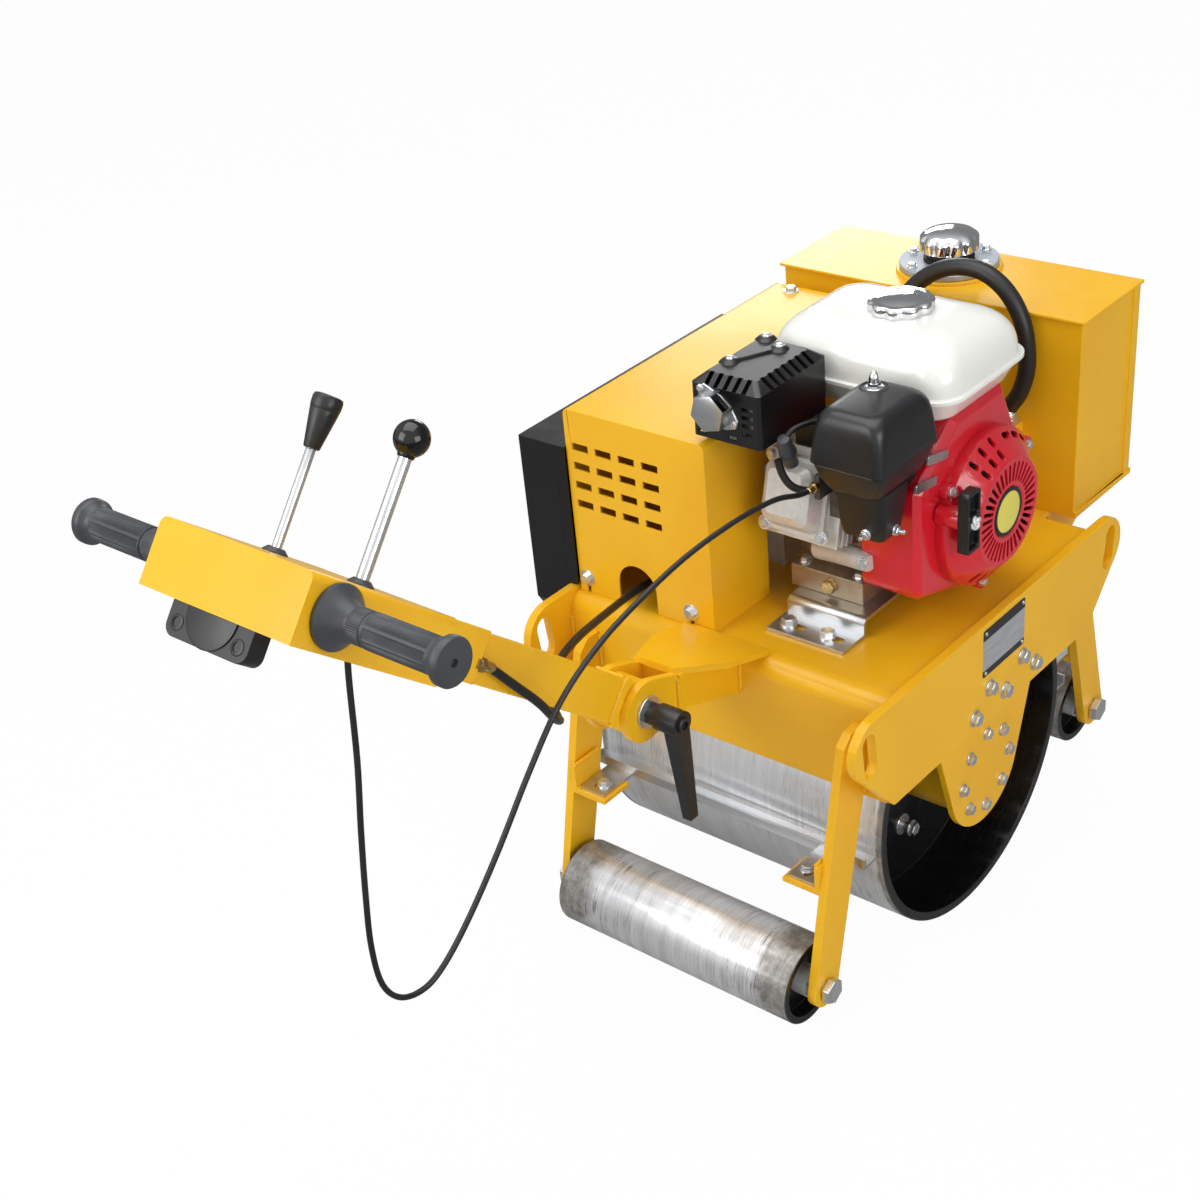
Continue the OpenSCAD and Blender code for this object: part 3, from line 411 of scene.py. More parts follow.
FINISH = {
    YELLOW: ("deck", "side_plate_left", "side_plate_right", "rear_legs", "front_legs", "bearing_plates",
             "handle_bracket", "hood", "oil_tank", "tank_lid", "handle_arm", "control_box"),
    ZINC: ("rear_roller_axle", "front_roller_axle", "pivot_pin", "handlebar", "drive_lever",
           "throttle_lever"),
    ROLLED_ZINC: ("rear_scraper", "front_scraper", "engine_bracket"),
    FLANGE_ZINC: ("filler_flange",),
    CHROME: ("filler_cap", "fuel_cap"),
    BLACK_PLASTIC: ("clamp_lever", "cooling_fan", "recoil_grip", "air_cleaner", "control_head"),
    BLACK_COAT: ("belt_guard",),
    BLACK_GLOSS: ("muffler",),
    RED_COAT: ("fan_shroud", "recoil_cover"),
    WHITE_COAT: ("fuel_tank",),
    CAST: ("cylinder_block", "valve_cover", "pump"),
    WARM_CAST: ("crankcase",),
    # The carburettor's dark tone is painted shade
    SHADE_DARK_CAST: ("carburettor",),
    CABLE_SKIN: ("hydraulic_hose",),
    GRIP_RUBBER: ("grips",),
    DRUM_STEEL: ("drum",),
    REAR_STEEL: ("rear_roller",),
    FRONT_STEEL: ("front_roller",),
}
# Solids with so many cut-outs in one face that the face stays split
PIERCED = ("muffler",)
# Gap that is joined, bend that counts as flat, width of a broken edge, bend that counts as sharp
JOIN = 0.02
FLAT = math.radians(0.4)
EDGE = 1.2
SHARP = math.radians(38)


def finish_node(name, material):
    """Gives a solid its finish, and breaks its sharp edges with a small round."""
    solid = NODES[name]
    solid.data.materials.clear()
    solid.data.materials.append(material)
    weld = solid.modifiers.new("joined_faces", "WELD")
    weld.merge_threshold = JOIN * METRE
    if name not in PIERCED:
        flat = solid.modifiers.new("flat_faces", "DECIMATE")
        flat.decimate_type = "DISSOLVE"
        flat.angle_limit = FLAT
    edge = solid.modifiers.new("broken_edges", "BEVEL")
    edge.width = EDGE * METRE
    edge.segments = 2
    edge.limit_method = "ANGLE"
    edge.angle_limit = SHARP
    edge.harden_normals = True
    edge.miter_outer = "MITER_ARC"


for node_finish, node_names in FINISH.items():
    for node_name in node_names:
        finish_node(node_name, node_finish)


# Mesh pieces
def sharp_shaded(mesh):
    mesh.polygons.foreach_set("use_smooth", [True] * len(mesh.polygons))
    mesh.set_sharp_from_angle(angle=SHARP)


def new_piece(name, shape, material, body="frame"):
    """Makes one object from a bmesh, gives it its finish, and rides it on a body."""
    bmesh.ops.recalc_face_normals(shape, faces=shape.faces)
    mesh = bpy.data.meshes.new(name)
    shape.to_mesh(mesh)
    shape.free()
    sharp_shaded(mesh)
    mesh.materials.append(material)
    piece = bpy.data.objects.new(name, mesh)
    bpy.context.scene.collection.objects.link(piece)
    if body:
        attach(piece, body)
    return piece


def smooth_route(points, per_span):
    """A smooth curve in metres through the points of a route, with per_span steps between each two."""
    route = [mm(*p) for p in points]
    ends = [2 * route[0] - route[1]] + route + [2 * route[-1] - route[-2]]
    line = []
    for before, start, stop, after in zip(ends, ends[1:], ends[2:], ends[3:]):
        for step in range(per_span):
            t = step / per_span
            bend = (2 * before - 5 * start + 4 * stop - after) * t * t
            line.append(0.5 * (2 * start + (stop - before) * t + bend
                               + (3 * start - before - 3 * stop + after) * t ** 3))
    return line + [route[-1]]


def sweep(shape, line, radius, sides):
    """A closed round tube along a line of points in metres. radius is a number, or a function of the share
    along it."""
    count = len(line)
    ahead = (line[1] - line[0]).normalized()
    side = ahead.orthogonal().normalized()
    rings = []
    for i, point in enumerate(line):
        turn = (line[min(i + 1, count - 1)] - line[max(i - 1, 0)]).normalized()
        side = (side - turn * side.dot(turn)).normalized()
        over = turn.cross(side)
        size = (radius(i / (count - 1)) if callable(radius) else radius) * METRE
        rings.append([shape.verts.new(point + size * (math.cos(a) * side + math.sin(a) * over))
                      for a in (2 * math.pi * k / sides for k in range(sides))])
    for first, second in zip(rings, rings[1:]):
        for k in range(sides):
            shape.faces.new((first[k], first[(k + 1) % sides], second[(k + 1) % sides], second[k]))
    shape.faces.new(rings[0])
    shape.faces.new(rings[-1])


# Cables and hose: routes and radii
THROTTLE_ROUTE = [
    (-809.6, -58, 834.5), (-823, -58, 818), (-834, -59, 796), (-842, -60, 760), (-854, -64, 673),
    (-868, -67, 600), (-880, -70, 530), (-887, -72, 470), (-884, -74, 420), (-866, -77, 391),
    (-836, -80, 383), (-806, -83, 397), (-765, -86, 433), (-714, -89, 488), (-660, -92, 553),
    (-606, -94, 607), (-545, -95, 640), (-480, -97, 660), (-400, -100, 676), (-320, -105, 682),
    (-250, -109, 678), (-205, -110, 664), (-185, -110, 660), (-170.3, -110, 660)]
THROTTLE_R = 3.2
SHIFT_ROUTE = [
    (-648, -26, 654.8), (-634, -26, 643), (-606, -34, 606), (-580, -38, 572), (-556, -33, 538),
    (-530, -16, 513), (-508, 8, 496), (-484, 36, 490), (-452, 64, 493), (-410, 88, 493), (-360, 106, 488),
    (-310, 120, 480), (-260, 130, 474), (-225, 136, 470), (-180, 136, 468), (-130, 128, 470),
    (-80, 108, 478), (-50, 100, 480), (-26.3, 100, 480)]
SHIFT_R = 5
HOSE_ROUTE = [
    (246, 60, 640), (246, 60, 658), (246, 44, 695), (246, 12, 732), (246, -28, 755), (246, -72, 758),
    (246, -108, 738), (246, -132, 700), (246, -140, 650), (246, -132, 610), (246, -114, 578),
    (246, -114, 560)]
HOSE_R = 11


def line_length(line):
    return sum((b - a).length for a, b in zip(line, line[1:]))


def tube_piece(name, material, line, radius, sides, body="frame"):
    shape = bmesh.new()
    sweep(shape, line, radius, sides)
    return new_piece(name, shape, material, body)


def make_cables():
    line = smooth_route(THROTTLE_ROUTE, 6)
    throttle = tube_piece("throttle_cable_sheath", CABLE_SKIN, line, THROTTLE_R, 12, None)
    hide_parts("throttle_cable")
    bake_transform(throttle)

    shift = tube_piece("shift_cable_sheath", CABLE_SKIN, smooth_route(SHIFT_ROUTE, 6), SHIFT_R, 14, None)
    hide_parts("shift_cable")
    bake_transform(shift)

    hose = tube_piece("hydraulic_hose_skin", CABLE_SKIN, smooth_route(HOSE_ROUTE, 8), HOSE_R, 24)
    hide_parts("hydraulic_hose")


make_cables()


# Forms built from outlines. A place is a matrix in metres; outlines and heights are millimetres.
def facing(point, normal, spin=0.0):
    """A place at a point whose local z looks along normal, turned by spin degrees about it."""
    ahead = Vector(normal).normalized()
    across = Vector((0, 0, 1)).cross(ahead)
    across = across.normalized() if across.length > 0.001 else Vector((1, 0, 0))
    turn = Matrix((across, ahead.cross(across), ahead)).transposed().to_4x4()
    return Matrix.Translation(mm(*point)) @ turn @ Matrix.Rotation(math.radians(spin), 4, "Z")


PIVOT = (-402, 0, 457)
ARM_SLOPE = math.radians(39.7)


def arm_point(u, y, v):
    """A point given along the arm: u up the arm from the pivot, y to the right, v square to the arm."""
    return (PIVOT[0] - u * math.cos(ARM_SLOPE) + v * math.sin(ARM_SLOPE), -y,
            PIVOT[2] + u * math.sin(ARM_SLOPE) + v * math.cos(ARM_SLOPE))


def lever_place(side):
    """Where a control lever leaves the box, side 1 on the right: local z runs up the lever."""
    along = Vector((-math.cos(ARM_SLOPE), 0, math.sin(ARM_SLOPE)))
    square = Vector((math.sin(ARM_SLOPE), 0, math.cos(ARM_SLOPE)))
    turn = Matrix((along, Vector((0, -1, 0)), square)).transposed().to_4x4()
    return Matrix.Translation(mm(*arm_point(555, side * 58, 33.5))) @ turn


# The crankshaft runs along Y through this x and z
CRANK = (24, 572)
CYLINDER_TILT = math.radians(15)
CYLINDER_FOOT = (CRANK[0], -52, CRANK[1])


def cylinder_place(up, y, out):
    """A place on the engine's sloping cylinder: local z runs out along it, local x climbs."""
    out_way = Vector((-math.cos(CYLINDER_TILT), 0, math.sin(CYLINDER_TILT)))
    up_way = Vector((math.sin(CYLINDER_TILT), 0, math.cos(CYLINDER_TILT)))
    turn = Matrix((up_way, Vector((0, 1, 0)), out_way)).transposed().to_4x4()
    foot = mm(*CYLINDER_FOOT) + (up_way * up + Vector((0, 1, 0)) * y + out_way * out) * METRE
    return Matrix.Translation(foot) @ turn


def polar(radius, angle):
    return (radius * math.cos(angle), radius * math.sin(angle))


def ring(radius, steps):
    """Corners of a regular outline, a circle when there are many."""
    return [polar(radius, 2 * math.pi * k / steps) for k in range(steps)]


LOBE_STEPS = 120


def lobed(radius, lobes, depth):
    """A round outline with shallow scallops between its lobes."""
    points = []
    for k in range(LOBE_STEPS):
        angle = 2 * math.pi * k / LOBE_STEPS
        points.append(polar(radius - depth * (0.5 + 0.5 * math.cos(lobes * angle)) ** 1.5, angle))
    return points


def round_rect(width, depth, corner, steps=6):
    """Outline of a rectangle with round corners, about its middle."""
    points = []
    for quarter, (across, along) in enumerate(((1, 1), (-1, 1), (-1, -1), (1, -1))):
        for k in range(steps + 1):
            x, y = polar(corner, (quarter + k / steps) * math.pi / 2)
            points.append((across * (width / 2 - corner) + x, along * (depth / 2 - corner) + y))
    return points


def loft(shape, place, layers):
    """A closed skin over outlines with equal counts, each given with its height."""
    rings = [[shape.verts.new(place @ (Vector((x, y, height)) * METRE)) for x, y in outline]
             for outline, height in layers]
    count = len(rings[0])
    for low, high in zip(rings, rings[1:]):
        for i in range(count):
            j = (i + 1) % count
            shape.faces.new((low[i], low[j], high[j], high[i]))
    shape.faces.new(rings[0])
    shape.faces.new(rings[-1])


def lathe(shape, place, profile, steps):
    """A turned form about local z. profile is pairs of radius and height."""
    loft(shape, place, [(ring(radius, steps), height) for radius, height in profile])


def turned_piece(name, material, place, profile, steps, body="frame"):
    shape = bmesh.new()
    lathe(shape, place, profile, steps)
    return new_piece(name, shape, material, body)


def case(shape, place, wide, deep, form, steps):
    """A moulded case with round corners. form is inset, height and corner radius, from its foot up."""
    loft(shape, place, [(round_rect(wide - 2 * inset, deep - 2 * inset, corner, steps), height)
                        for inset, height, corner in form])


def slab(shape, place, outline, low, high, edge=0.5):
    """A flat plate from an outline about its middle, with its upper edge broken."""
    wide = max(max(abs(x), abs(y)) for x, y in outline)
    inner = [(x * (1 - edge / wide), y * (1 - edge / wide)) for x, y in outline]
    loft(shape, place, [(outline, low), (outline, high - edge), (inner, high)])


# Hex heads: width across flats, height and washer's radius as shares of the thread, and the usual washer
FLATS = 1.6
HEAD = 0.64
WASHER_R = 1.12
WASHER = 1.7


def hex_head(shape, place, size, washer=WASHER, wide=WASHER_R):
    """Hex head with a chamfered crown on a washer. size is the thread, wide the washer's share of it."""
    corner = FLATS * size / math.sqrt(3)
    crown = washer + HEAD * size
    lathe(shape, place, [(size * wide, -0.4), (size * wide, washer - 0.4), (size * wide - 0.4, washer)], 28)
    loft(shape, place, [(ring(corner, 6), washer - 0.2), (ring(corner, 6), crown - 0.09 * size),
                        (ring(corner * 0.88, 6), crown)])
    lathe(shape, place, [(corner * 0.72, crown - 0.3), (corner * 0.7, crown + 0.25),
                         (corner * 0.66, crown + 0.25)], 24)


def hex_bolt(shape, point, normal, size, spin, washer, wide=WASHER_R):
    hex_head(shape, facing(point, normal, spin), size, washer, wide)


def stud_nut(shape, point, normal, size, tail):
    """Nut on a washer with the end of a stud standing out of it."""
    place = facing(point, normal)
    hex_head(shape, place, size)
    high = WASHER + HEAD * size
    lathe(shape, place, [(size * 0.46, high - 1), (size * 0.46, high + tail - 0.8),
                         (size * 0.36, high + tail)], 20)


def screw_head(shape, point, normal, radius, high):
    """Domed screw head with a round recess."""
    lathe(shape, facing(point, normal), [(radius, -0.4), (radius, high * 0.35), (radius * 0.9, high * 0.75),
                                         (radius * 0.6, high), (radius * 0.42, high),
                                         (radius * 0.3, high * 0.45)], 24)


# Length of one ripple in a weld, and of one step of its line
RIPPLE = 4.6
WELD_STEP = 1.1


def weld_bead(shape, points, radius=3.0):
    """A ripple of weld laid along a line of points."""
    length = line_length([mm(*p) for p in points]) / METRE
    line = smooth_route(points, max(8, int(length / (len(points) - 1) / WELD_STEP)))
    ripples = length / RIPPLE

    def swell(t):
        return radius * (0.94 + 0.1 * math.sin(2 * math.pi * ripples * t)) * min(1, 0.6 + 20 * t)

    sweep(shape, line, swell, 10)


# Fasteners on the frame
RIGHT = (0, -1, 0)
LEFT = (0, 1, 0)
REAR = (-1, 0, 0)
UP = (0, 0, 1)
SPINS = random.Random(7)
SIDE_FACE = 249
BEARING_FACE = 237
SCRAPERS = (-282, 325)
FILLER = (340, 30)


def chance_bolt(shape, point, normal, size, washer=WASHER, wide=WASHER_R):
    """A hex bolt at a chance angle, as a wrench leaves it."""
    hex_bolt(shape, point, normal, size, SPINS.uniform(0, 60), washer, wide)


def make_frame_bolts():
    shape = bmesh.new()
    for side, normal in ((-1, RIGHT), (1, LEFT)):
        for k in range(8):
            x, z = polar(55, math.radians(45 * k))
            chance_bolt(shape, (x, side * BEARING_FACE, DRUM_AXLE[1] + z), normal, 8)
    for x, z in ((60, 354), (92, 328), (-17, 350), (20, 326), (-51, 324)):
        chance_bolt(shape, (x, -SIDE_FACE, z), RIGHT, 10, 2.2)
    new_piece("drive_side_bolts", shape, ZINC)

    shape = bmesh.new()
    for y in (54, 219.5):
        chance_bolt(shape, (-207, y, 461), REAR, 8, 1.8, 1.4)
    for y in (62, 195):
        chance_bolt(shape, (217, y, 694), UP, 8, 1.8, 1.35)
    new_piece("hood_bolts", shape, ZINC)

    shape = bmesh.new()
    for x in (-146, 146):
        for y in (-47, -103):
            chance_bolt(shape, (x, y, 445), UP, 10, 2.2)
    for x in (-82, 92):
        for y in (-30, -108):
            chance_bolt(shape, (x, y, 496), UP, 8)
    new_piece("engine_foot_bolts", shape, ZINC)

    shape = bmesh.new()
    for x in SCRAPERS:
        for y in (-160, 160):
            chance_bolt(shape, (x, y, 204), UP, 8, 1.8, 1.2)
    new_piece("scraper_bolts", shape, ZINC)

    shape = bmesh.new()
    for k in range(6):
        x, y = polar(54, math.radians(60 * k - 90))
        chance_bolt(shape, (FILLER[0] + x, FILLER[1] + y, 724), UP, 6, 1.4)
    new_piece("filler_flange_bolts", shape, ZINC)

    shape = bmesh.new()
    hex_bolt(shape, (-95, -74, 481), REAR, 10, 12, 2.4, 0.95)
    new_piece("drain_plug", shape, BRASSY)


def make_name_plate():
    """A plain plate on the right side plate: metal with two dark bands, and a rivet in each corner."""
    x0, x1, z0, z1 = PLATE
    shape = bmesh.new()
    place = facing(((x0 + x1) / 2, -SIDE_FACE, (z0 + z1) / 2), RIGHT)
    slab(shape, place, round_rect(x1 - x0, z1 - z0, 2.5), -0.3, 1.0, 0.3)
    new_piece("name_plate", shape, PLATE_METAL)
    shape = bmesh.new()
    for x in (x0 + 5, x1 - 5):
        for z in (z0 + 5, z1 - 5):
            screw_head(shape, (x, -SIDE_FACE - 1, z), RIGHT, 2.6, 1.5)
    new_piece("name_plate_rivets", shape, ZINC)


# Upright welds on each side of the frame: x, y, lower and upper end
UPRIGHT_WELDS = ((-228, 235.5, 306, 412), (263, 235.5, 306, 412), (-228, 191.5, 306, 396),
                 (263, 191.5, 344, 396), (-228, 206.5, 306, 396), (263, 206.5, 344, 396),
                 (-228, 23, 388, 436), (-228, 31, 388, 436))


def make_welds():
    shape = bmesh.new()
    for side in (-1, 1):
        for x, y, low, high in UPRIGHT_WELDS:
            weld_bead(shape, [(x, side * y, low), (x, side * y, high)])
        for x in SCRAPERS:
            for y, z in ((188, 237), (186, 200.5)):
                weld_bead(shape, [(x - 24, side * y, z), (x + 24, side * y, z)], 2.4)
    weld_bead(shape, [(-210.5, -60, 441), (-210.5, 60, 441)], 3.4)
    for y in (-33, 33):
        weld_bead(shape, [(-346.5, y, 430), (-346.5, y, 470)], 2.6)
    new_piece("frame_welds", shape, YELLOW)

    shape = bmesh.new()
    for side in (-1, 1):
        weld_bead(shape, [arm_point(49, side * 20.5, -25), arm_point(49, side * 20.5, 25)])
        weld_bead(shape, [arm_point(49, -19, side * 27.5), arm_point(49, 19, side * 27.5)])
        weld_bead(shape, [arm_point(318, side * 30, -25), arm_point(318, side * 20.5, -25)], 2.2)
        weld_bead(shape, [arm_point(322, side * 21, 27.5), arm_point(440, side * 21, 27.5)], 2.0)
    new_piece("arm_welds", shape, YELLOW, "handle")


# Handle fittings. The grip's form is pairs of distance from its inner end and radius.
GRIP_FORM = (
    (0, 30), (1, 31), (5, 31), (8, 28.2), (12, 25), (16, 22), (20, 19.6), (26, 17), (27.5, 16.4), (29, 17),
    (44, 17), (44.8, 16), (46.4, 16), (47.2, 17.3), (49, 17.3), (50, 16.6), (122, 16.6), (123, 17.3),
    (126, 17.4), (129, 18.2), (132, 21.5), (134, 22.8), (136, 23), (141, 23), (142.6, 22), (143, 20),
    (143, 4), (139, 3.4))
GRIP_STEPS = 192
RIBBED_COLLAR = (29, 44)
PANELLED = (50, 122)
PANELS = 8


def grip_depth(along, angle):
    """How far the moulded pattern sinks at a place on the grip."""
    if RIBBED_COLLAR[0] <= along <= RIBBED_COLLAR[1]:
        return 0.45 * (0.5 + 0.5 * math.cos(48 * angle))
    if PANELLED[0] <= along <= PANELLED[1]:
        share = angle * PANELS / (2 * math.pi) % 1
        if share < 0.1 or share > 0.9:
            return -0.7
        return 0.25 * math.cos(96 * angle)
    return 0.0


def make_grip(side, name):
    shape = bmesh.new()
    stations = []
    for (s0, r0), (s1, r1) in zip(GRIP_FORM, GRIP_FORM[1:]):
        pieces = 3 if s1 - s0 > 10 else 1
        stations += [(s0 + (s1 - s0) * k / pieces, r0 + (r1 - r0) * k / pieces) for k in range(pieces)]
    stations.append(GRIP_FORM[-1])
    layers = []
    for along, radius in stations:
        outline = []
        for k in range(GRIP_STEPS):
            angle = 2 * math.pi * k / GRIP_STEPS
            outline.append(polar(radius - (grip_depth(along, angle) if radius > 15 else 0), angle))
        layers.append((outline, along))
    loft(shape, facing(arm_point(620, side * 102, 2), (0, -side, 0)), layers)
    return new_piece(name, shape, GRIP_RUBBER, "handle")


def make_levers():
    right = make_grip(1, "right_grip")
    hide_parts("grips")
    make_grip(-1, "left_grip")

    place = lever_place(-1)
    rod = turned_piece("drive_lever_rod", ZINC, place, [(5, -0.5), (5, 106), (4, 108)], 28, "handle")
    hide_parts("drive_lever")
    knob = [(6.2, 103.6), (7.6, 104), (8.2, 105), (13.4, 136), (14.2, 140.6), (14, 141.2), (14.4, 141.8),
            (15, 146), (15, 152), (14, 155), (11, 156), (2, 156)]
    turned_piece("drive_lever_knob", BLACK_PLASTIC, place, knob, 48, "handle")

    place = lever_place(1)
    rod = turned_piece("throttle_lever_rod", ZINC, place, [(6.5, -0.5), (6.5, 126)], 32, "handle")
    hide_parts("throttle_lever")
    ball = [(7.6, 121.5), (7.9, 122.2), (8.3, 123)]
    for k in range(4, 24):
        out, up = polar(17.5, math.pi * (k / 24 - 0.5))
        ball.append((out, 140 + up))
    ball = [pair for pair in ball if pair[1] > 121.4]
    turned_piece("throttle_lever_ball", BLACK_KNOB, place, ball, 48, "handle")

    shape = bmesh.new()
    for side in (-1, 1):
        lathe(shape, lever_place(side), [(13, -0.4), (13, 1.2), (11, 3), (9, 5), (8, 5.6)], 32)
    new_piece("lever_grommets", shape, GRIP_RUBBER, "handle")


def make_control_dial():
    """Half of the round cover on the control block's rear face, below the box."""
    shape = bmesh.new()
    half, inner = [[polar(radius, math.pi + math.pi * k / 24) for k in range(25)] for radius in (33, 30)]
    along = tuple(a - b for a, b in zip(arm_point(1, 0, 0), PIVOT))
    loft(shape, facing(arm_point(658.6, 0, -34), along), [(half, -0.4), (half, 1.6), (inner, 2.4)])
    for y in (-41, 41):
        place = facing(arm_point(658.4, y, -52.5), along)
        lathe(shape, place, [(8, -0.3), (8, 0.8), (7, 1.3), (5.2, 1.3), (5, 0.2)], 28)
    new_piece("control_cover", shape, BLACK_PLASTIC, "handle")


def make_pivot_fittings():
    place = facing((PIVOT[0], -82, PIVOT[2]), RIGHT)
    turned_piece("clamp_screw", BLACK_PLASTIC, place, [(9.5, -0.5), (9.5, 3), (8.5, 4), (5.2, 4), (5, 1)], 32)
    place = facing((PIVOT[0], -36, PIVOT[2]), RIGHT)
    turned_piece("clamp_washer", ZINC, place, [(13, -0.2), (13, 2), (12.4, 2.6)], 32)


def make_cable_ends():
    shape = bmesh.new()
    place = facing((-170, -110, 660), REAR)
    lathe(shape, place, [(4.6, -6), (4.6, 0), (4.2, 1), (4.2, 16), (3.4, 17)], 24)
    loft(shape, place, [(ring(6.6, 6), 1.5), (ring(6.6, 6), 6.5)])
    new_piece("throttle_cable_end", shape, BRASSY)
    shape = bmesh.new()
    ahead = Vector((13.4, 0, 16.5))
    place = facing(tuple(Vector(THROTTLE_ROUTE[0]) - ahead), tuple(-ahead))
    lathe(shape, place, [(3.6, -16), (4.8, -15), (4.8, 2), (3.4, 3)], 24)
    place = facing(SHIFT_ROUTE[0], (14, 0, -11.8))
    lathe(shape, place, [(6.6, -6), (6.6, 12), (6, 13), (6, 24), (5.2, 25)], 24)
    loft(shape, place, [(ring(8.8, 6), 0), (ring(8.8, 6), 7)])
    new_piece("handle_cable_ends", shape, BRASSY, "handle")


def make_hose_ends():
    shape = bmesh.new()
    for y, low in ((60, 640), (-114, 560)):
        place = facing((246, y, low), UP)
        loft(shape, place, [(ring(14.5, 6), -2), (ring(14.5, 6), 9), (ring(13.4, 6), 10)])
        lathe(shape, place, [(11, 9), (12.6, 10), (12.9, 12), (12.2, 14), (13, 16), (12.2, 18), (13, 20),
                             (12.2, 22), (13, 24), (12.4, 27), (11, 28)], 36)
    new_piece("hose_fittings", shape, ZINC)


# Engine fittings. The caps' forms are radius, depth of the scallops and height.
FUEL_CAP_FORM = ((36.5, 2.6, -1), (38, 3.0, 0.4), (38.8, 3.2, 2), (38.8, 3.2, 9), (38, 2.8, 11),
                 (36, 1.6, 12.4), (33.5, 0, 13), (30, 0, 12.7), (27, 0, 13.4), (20, 0, 14.8), (11, 0, 15.6),
                 (1, 0, 15.9))
FILLER_CAP_FORM = ((36, 0, -1), (38.6, 1.6, 0), (39, 3.4, 2), (39, 3.6, 12), (38, 3.2, 15), (35.5, 2.0, 18),
                   (31.5, 0, 20.4), (26, 0, 22.6), (19, 0, 24.4), (10, 0, 25.6), (1, 0, 26))


def scalloped_cap(name, point, lobes, form):
    shape = bmesh.new()
    loft(shape, facing(point, UP), [(lobed(radius, lobes, depth), height) for radius, depth, height in form])
    return new_piece(name, shape, CHROME)


def make_caps():
    cap = scalloped_cap("fuel_cap_shell", (22, -100, 799), 10, FUEL_CAP_FORM)
    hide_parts("fuel_cap")
    cap = scalloped_cap("filler_cap_shell", (*FILLER, 739), 12, FILLER_CAP_FORM)
    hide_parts("filler_cap")
    neck = [(33, -0.3), (33, 4), (32, 5), (30.4, 5.4), (30.4, 13), (32, 14), (32, 15)]
    turned_piece("filler_neck", BLACK_COAT, facing((*FILLER, 724), UP), neck, 48)


# The tank's lower half and seam: inset, height, corner radius
TANK_FORM = ((70, 704.2, 20), (30, 704.4, 26), (22, 706, 28), (17, 711, 30), (6, 733.5, 34), (5, 735, 34),
             (1, 735.4, 36), (0, 736, 36), (0, 740, 36), (1, 740.6, 36), (5, 741, 36))
DOME_POWER = 2.5


def make_fuel_tank():
    """The tank's two pressed halves, with the flange of their seam."""
    shape = bmesh.new()
    form = list(TANK_FORM)
    for k in range(1, 25):
        share = math.sin(k / 24 * math.pi / 2)
        inset = 5 + 66 * (1 - (1 - share ** DOME_POWER) ** (1 / DOME_POWER))
        form.append((min(inset, 70), 741 + 58 * share, max(18, 38 - 0.25 * inset)))
    case(shape, facing((21, -92, 0), UP), 190, 260, form, 10)
    tank = new_piece("fuel_tank_shell", shape, WHITE_COAT)
    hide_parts("fuel_tank")


# The air cleaner's case and its lower box: inset, height, corner radius
CLEANER_FORM = ((22, 665.4, 10), (17, 667, 11), (13, 673, 11), (7.5, 685, 11), (4, 696, 11), (2.6, 701.4, 12),
                (3.2, 702.2, 12), (3.2, 703.2, 12), (0.4, 703.8, 12), (0, 704.6, 12), (1, 714, 12),
                (2.4, 730, 13), (4, 744, 14), (5.6, 752, 15), (8, 758, 16), (11.4, 762.4, 17),
                (16, 765.2, 17), (22, 766, 16))
CLEANER_BOX = ((12, 602, 5), (8.5, 603, 7), (7, 606, 8), (4, 622, 9), (1, 650, 9), (0, 667, 9))
CLEANER_STUD = (-111, -150)


def make_air_cleaner():
    """Two-part air cleaner case with soft edges, a seam, and its lower box."""
    shape = bmesh.new()
    case(shape, facing((-137, -165.5, 0), UP), 122, 98, CLEANER_FORM, 10)
    case(shape, facing((-141, -163.6, 0), UP), 56, 70, CLEANER_BOX, 8)
    place = facing((*CLEANER_STUD, 765.6), UP)
    lathe(shape, place, [(17.5, -0.6), (16.6, 0.6), (15.4, 1), (14.4, 0.4), (14, -0.4)], 48)
    cleaner = new_piece("air_cleaner_case", shape, BLACK_PLASTIC)
    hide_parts("air_cleaner")


def make_axle_collars():
    """Pale collars on the roller axles, between each roller and its leg."""
    shape = bmesh.new()
    for x, z in (REAR_AXLE, FRONT_AXLE):
        for side in (-1, 1):
            place = facing((x, side * 164, z), (0, side, 0))
            lathe(shape, place, [(19, 0), (20, 1), (20, 19.4), (19.4, 20)], 36)
    new_piece("axle_collars", shape, WHITE_ZINC)


MUFFLER_SCREWS = ((-158, 12), (-104, -18), (-88, 12))


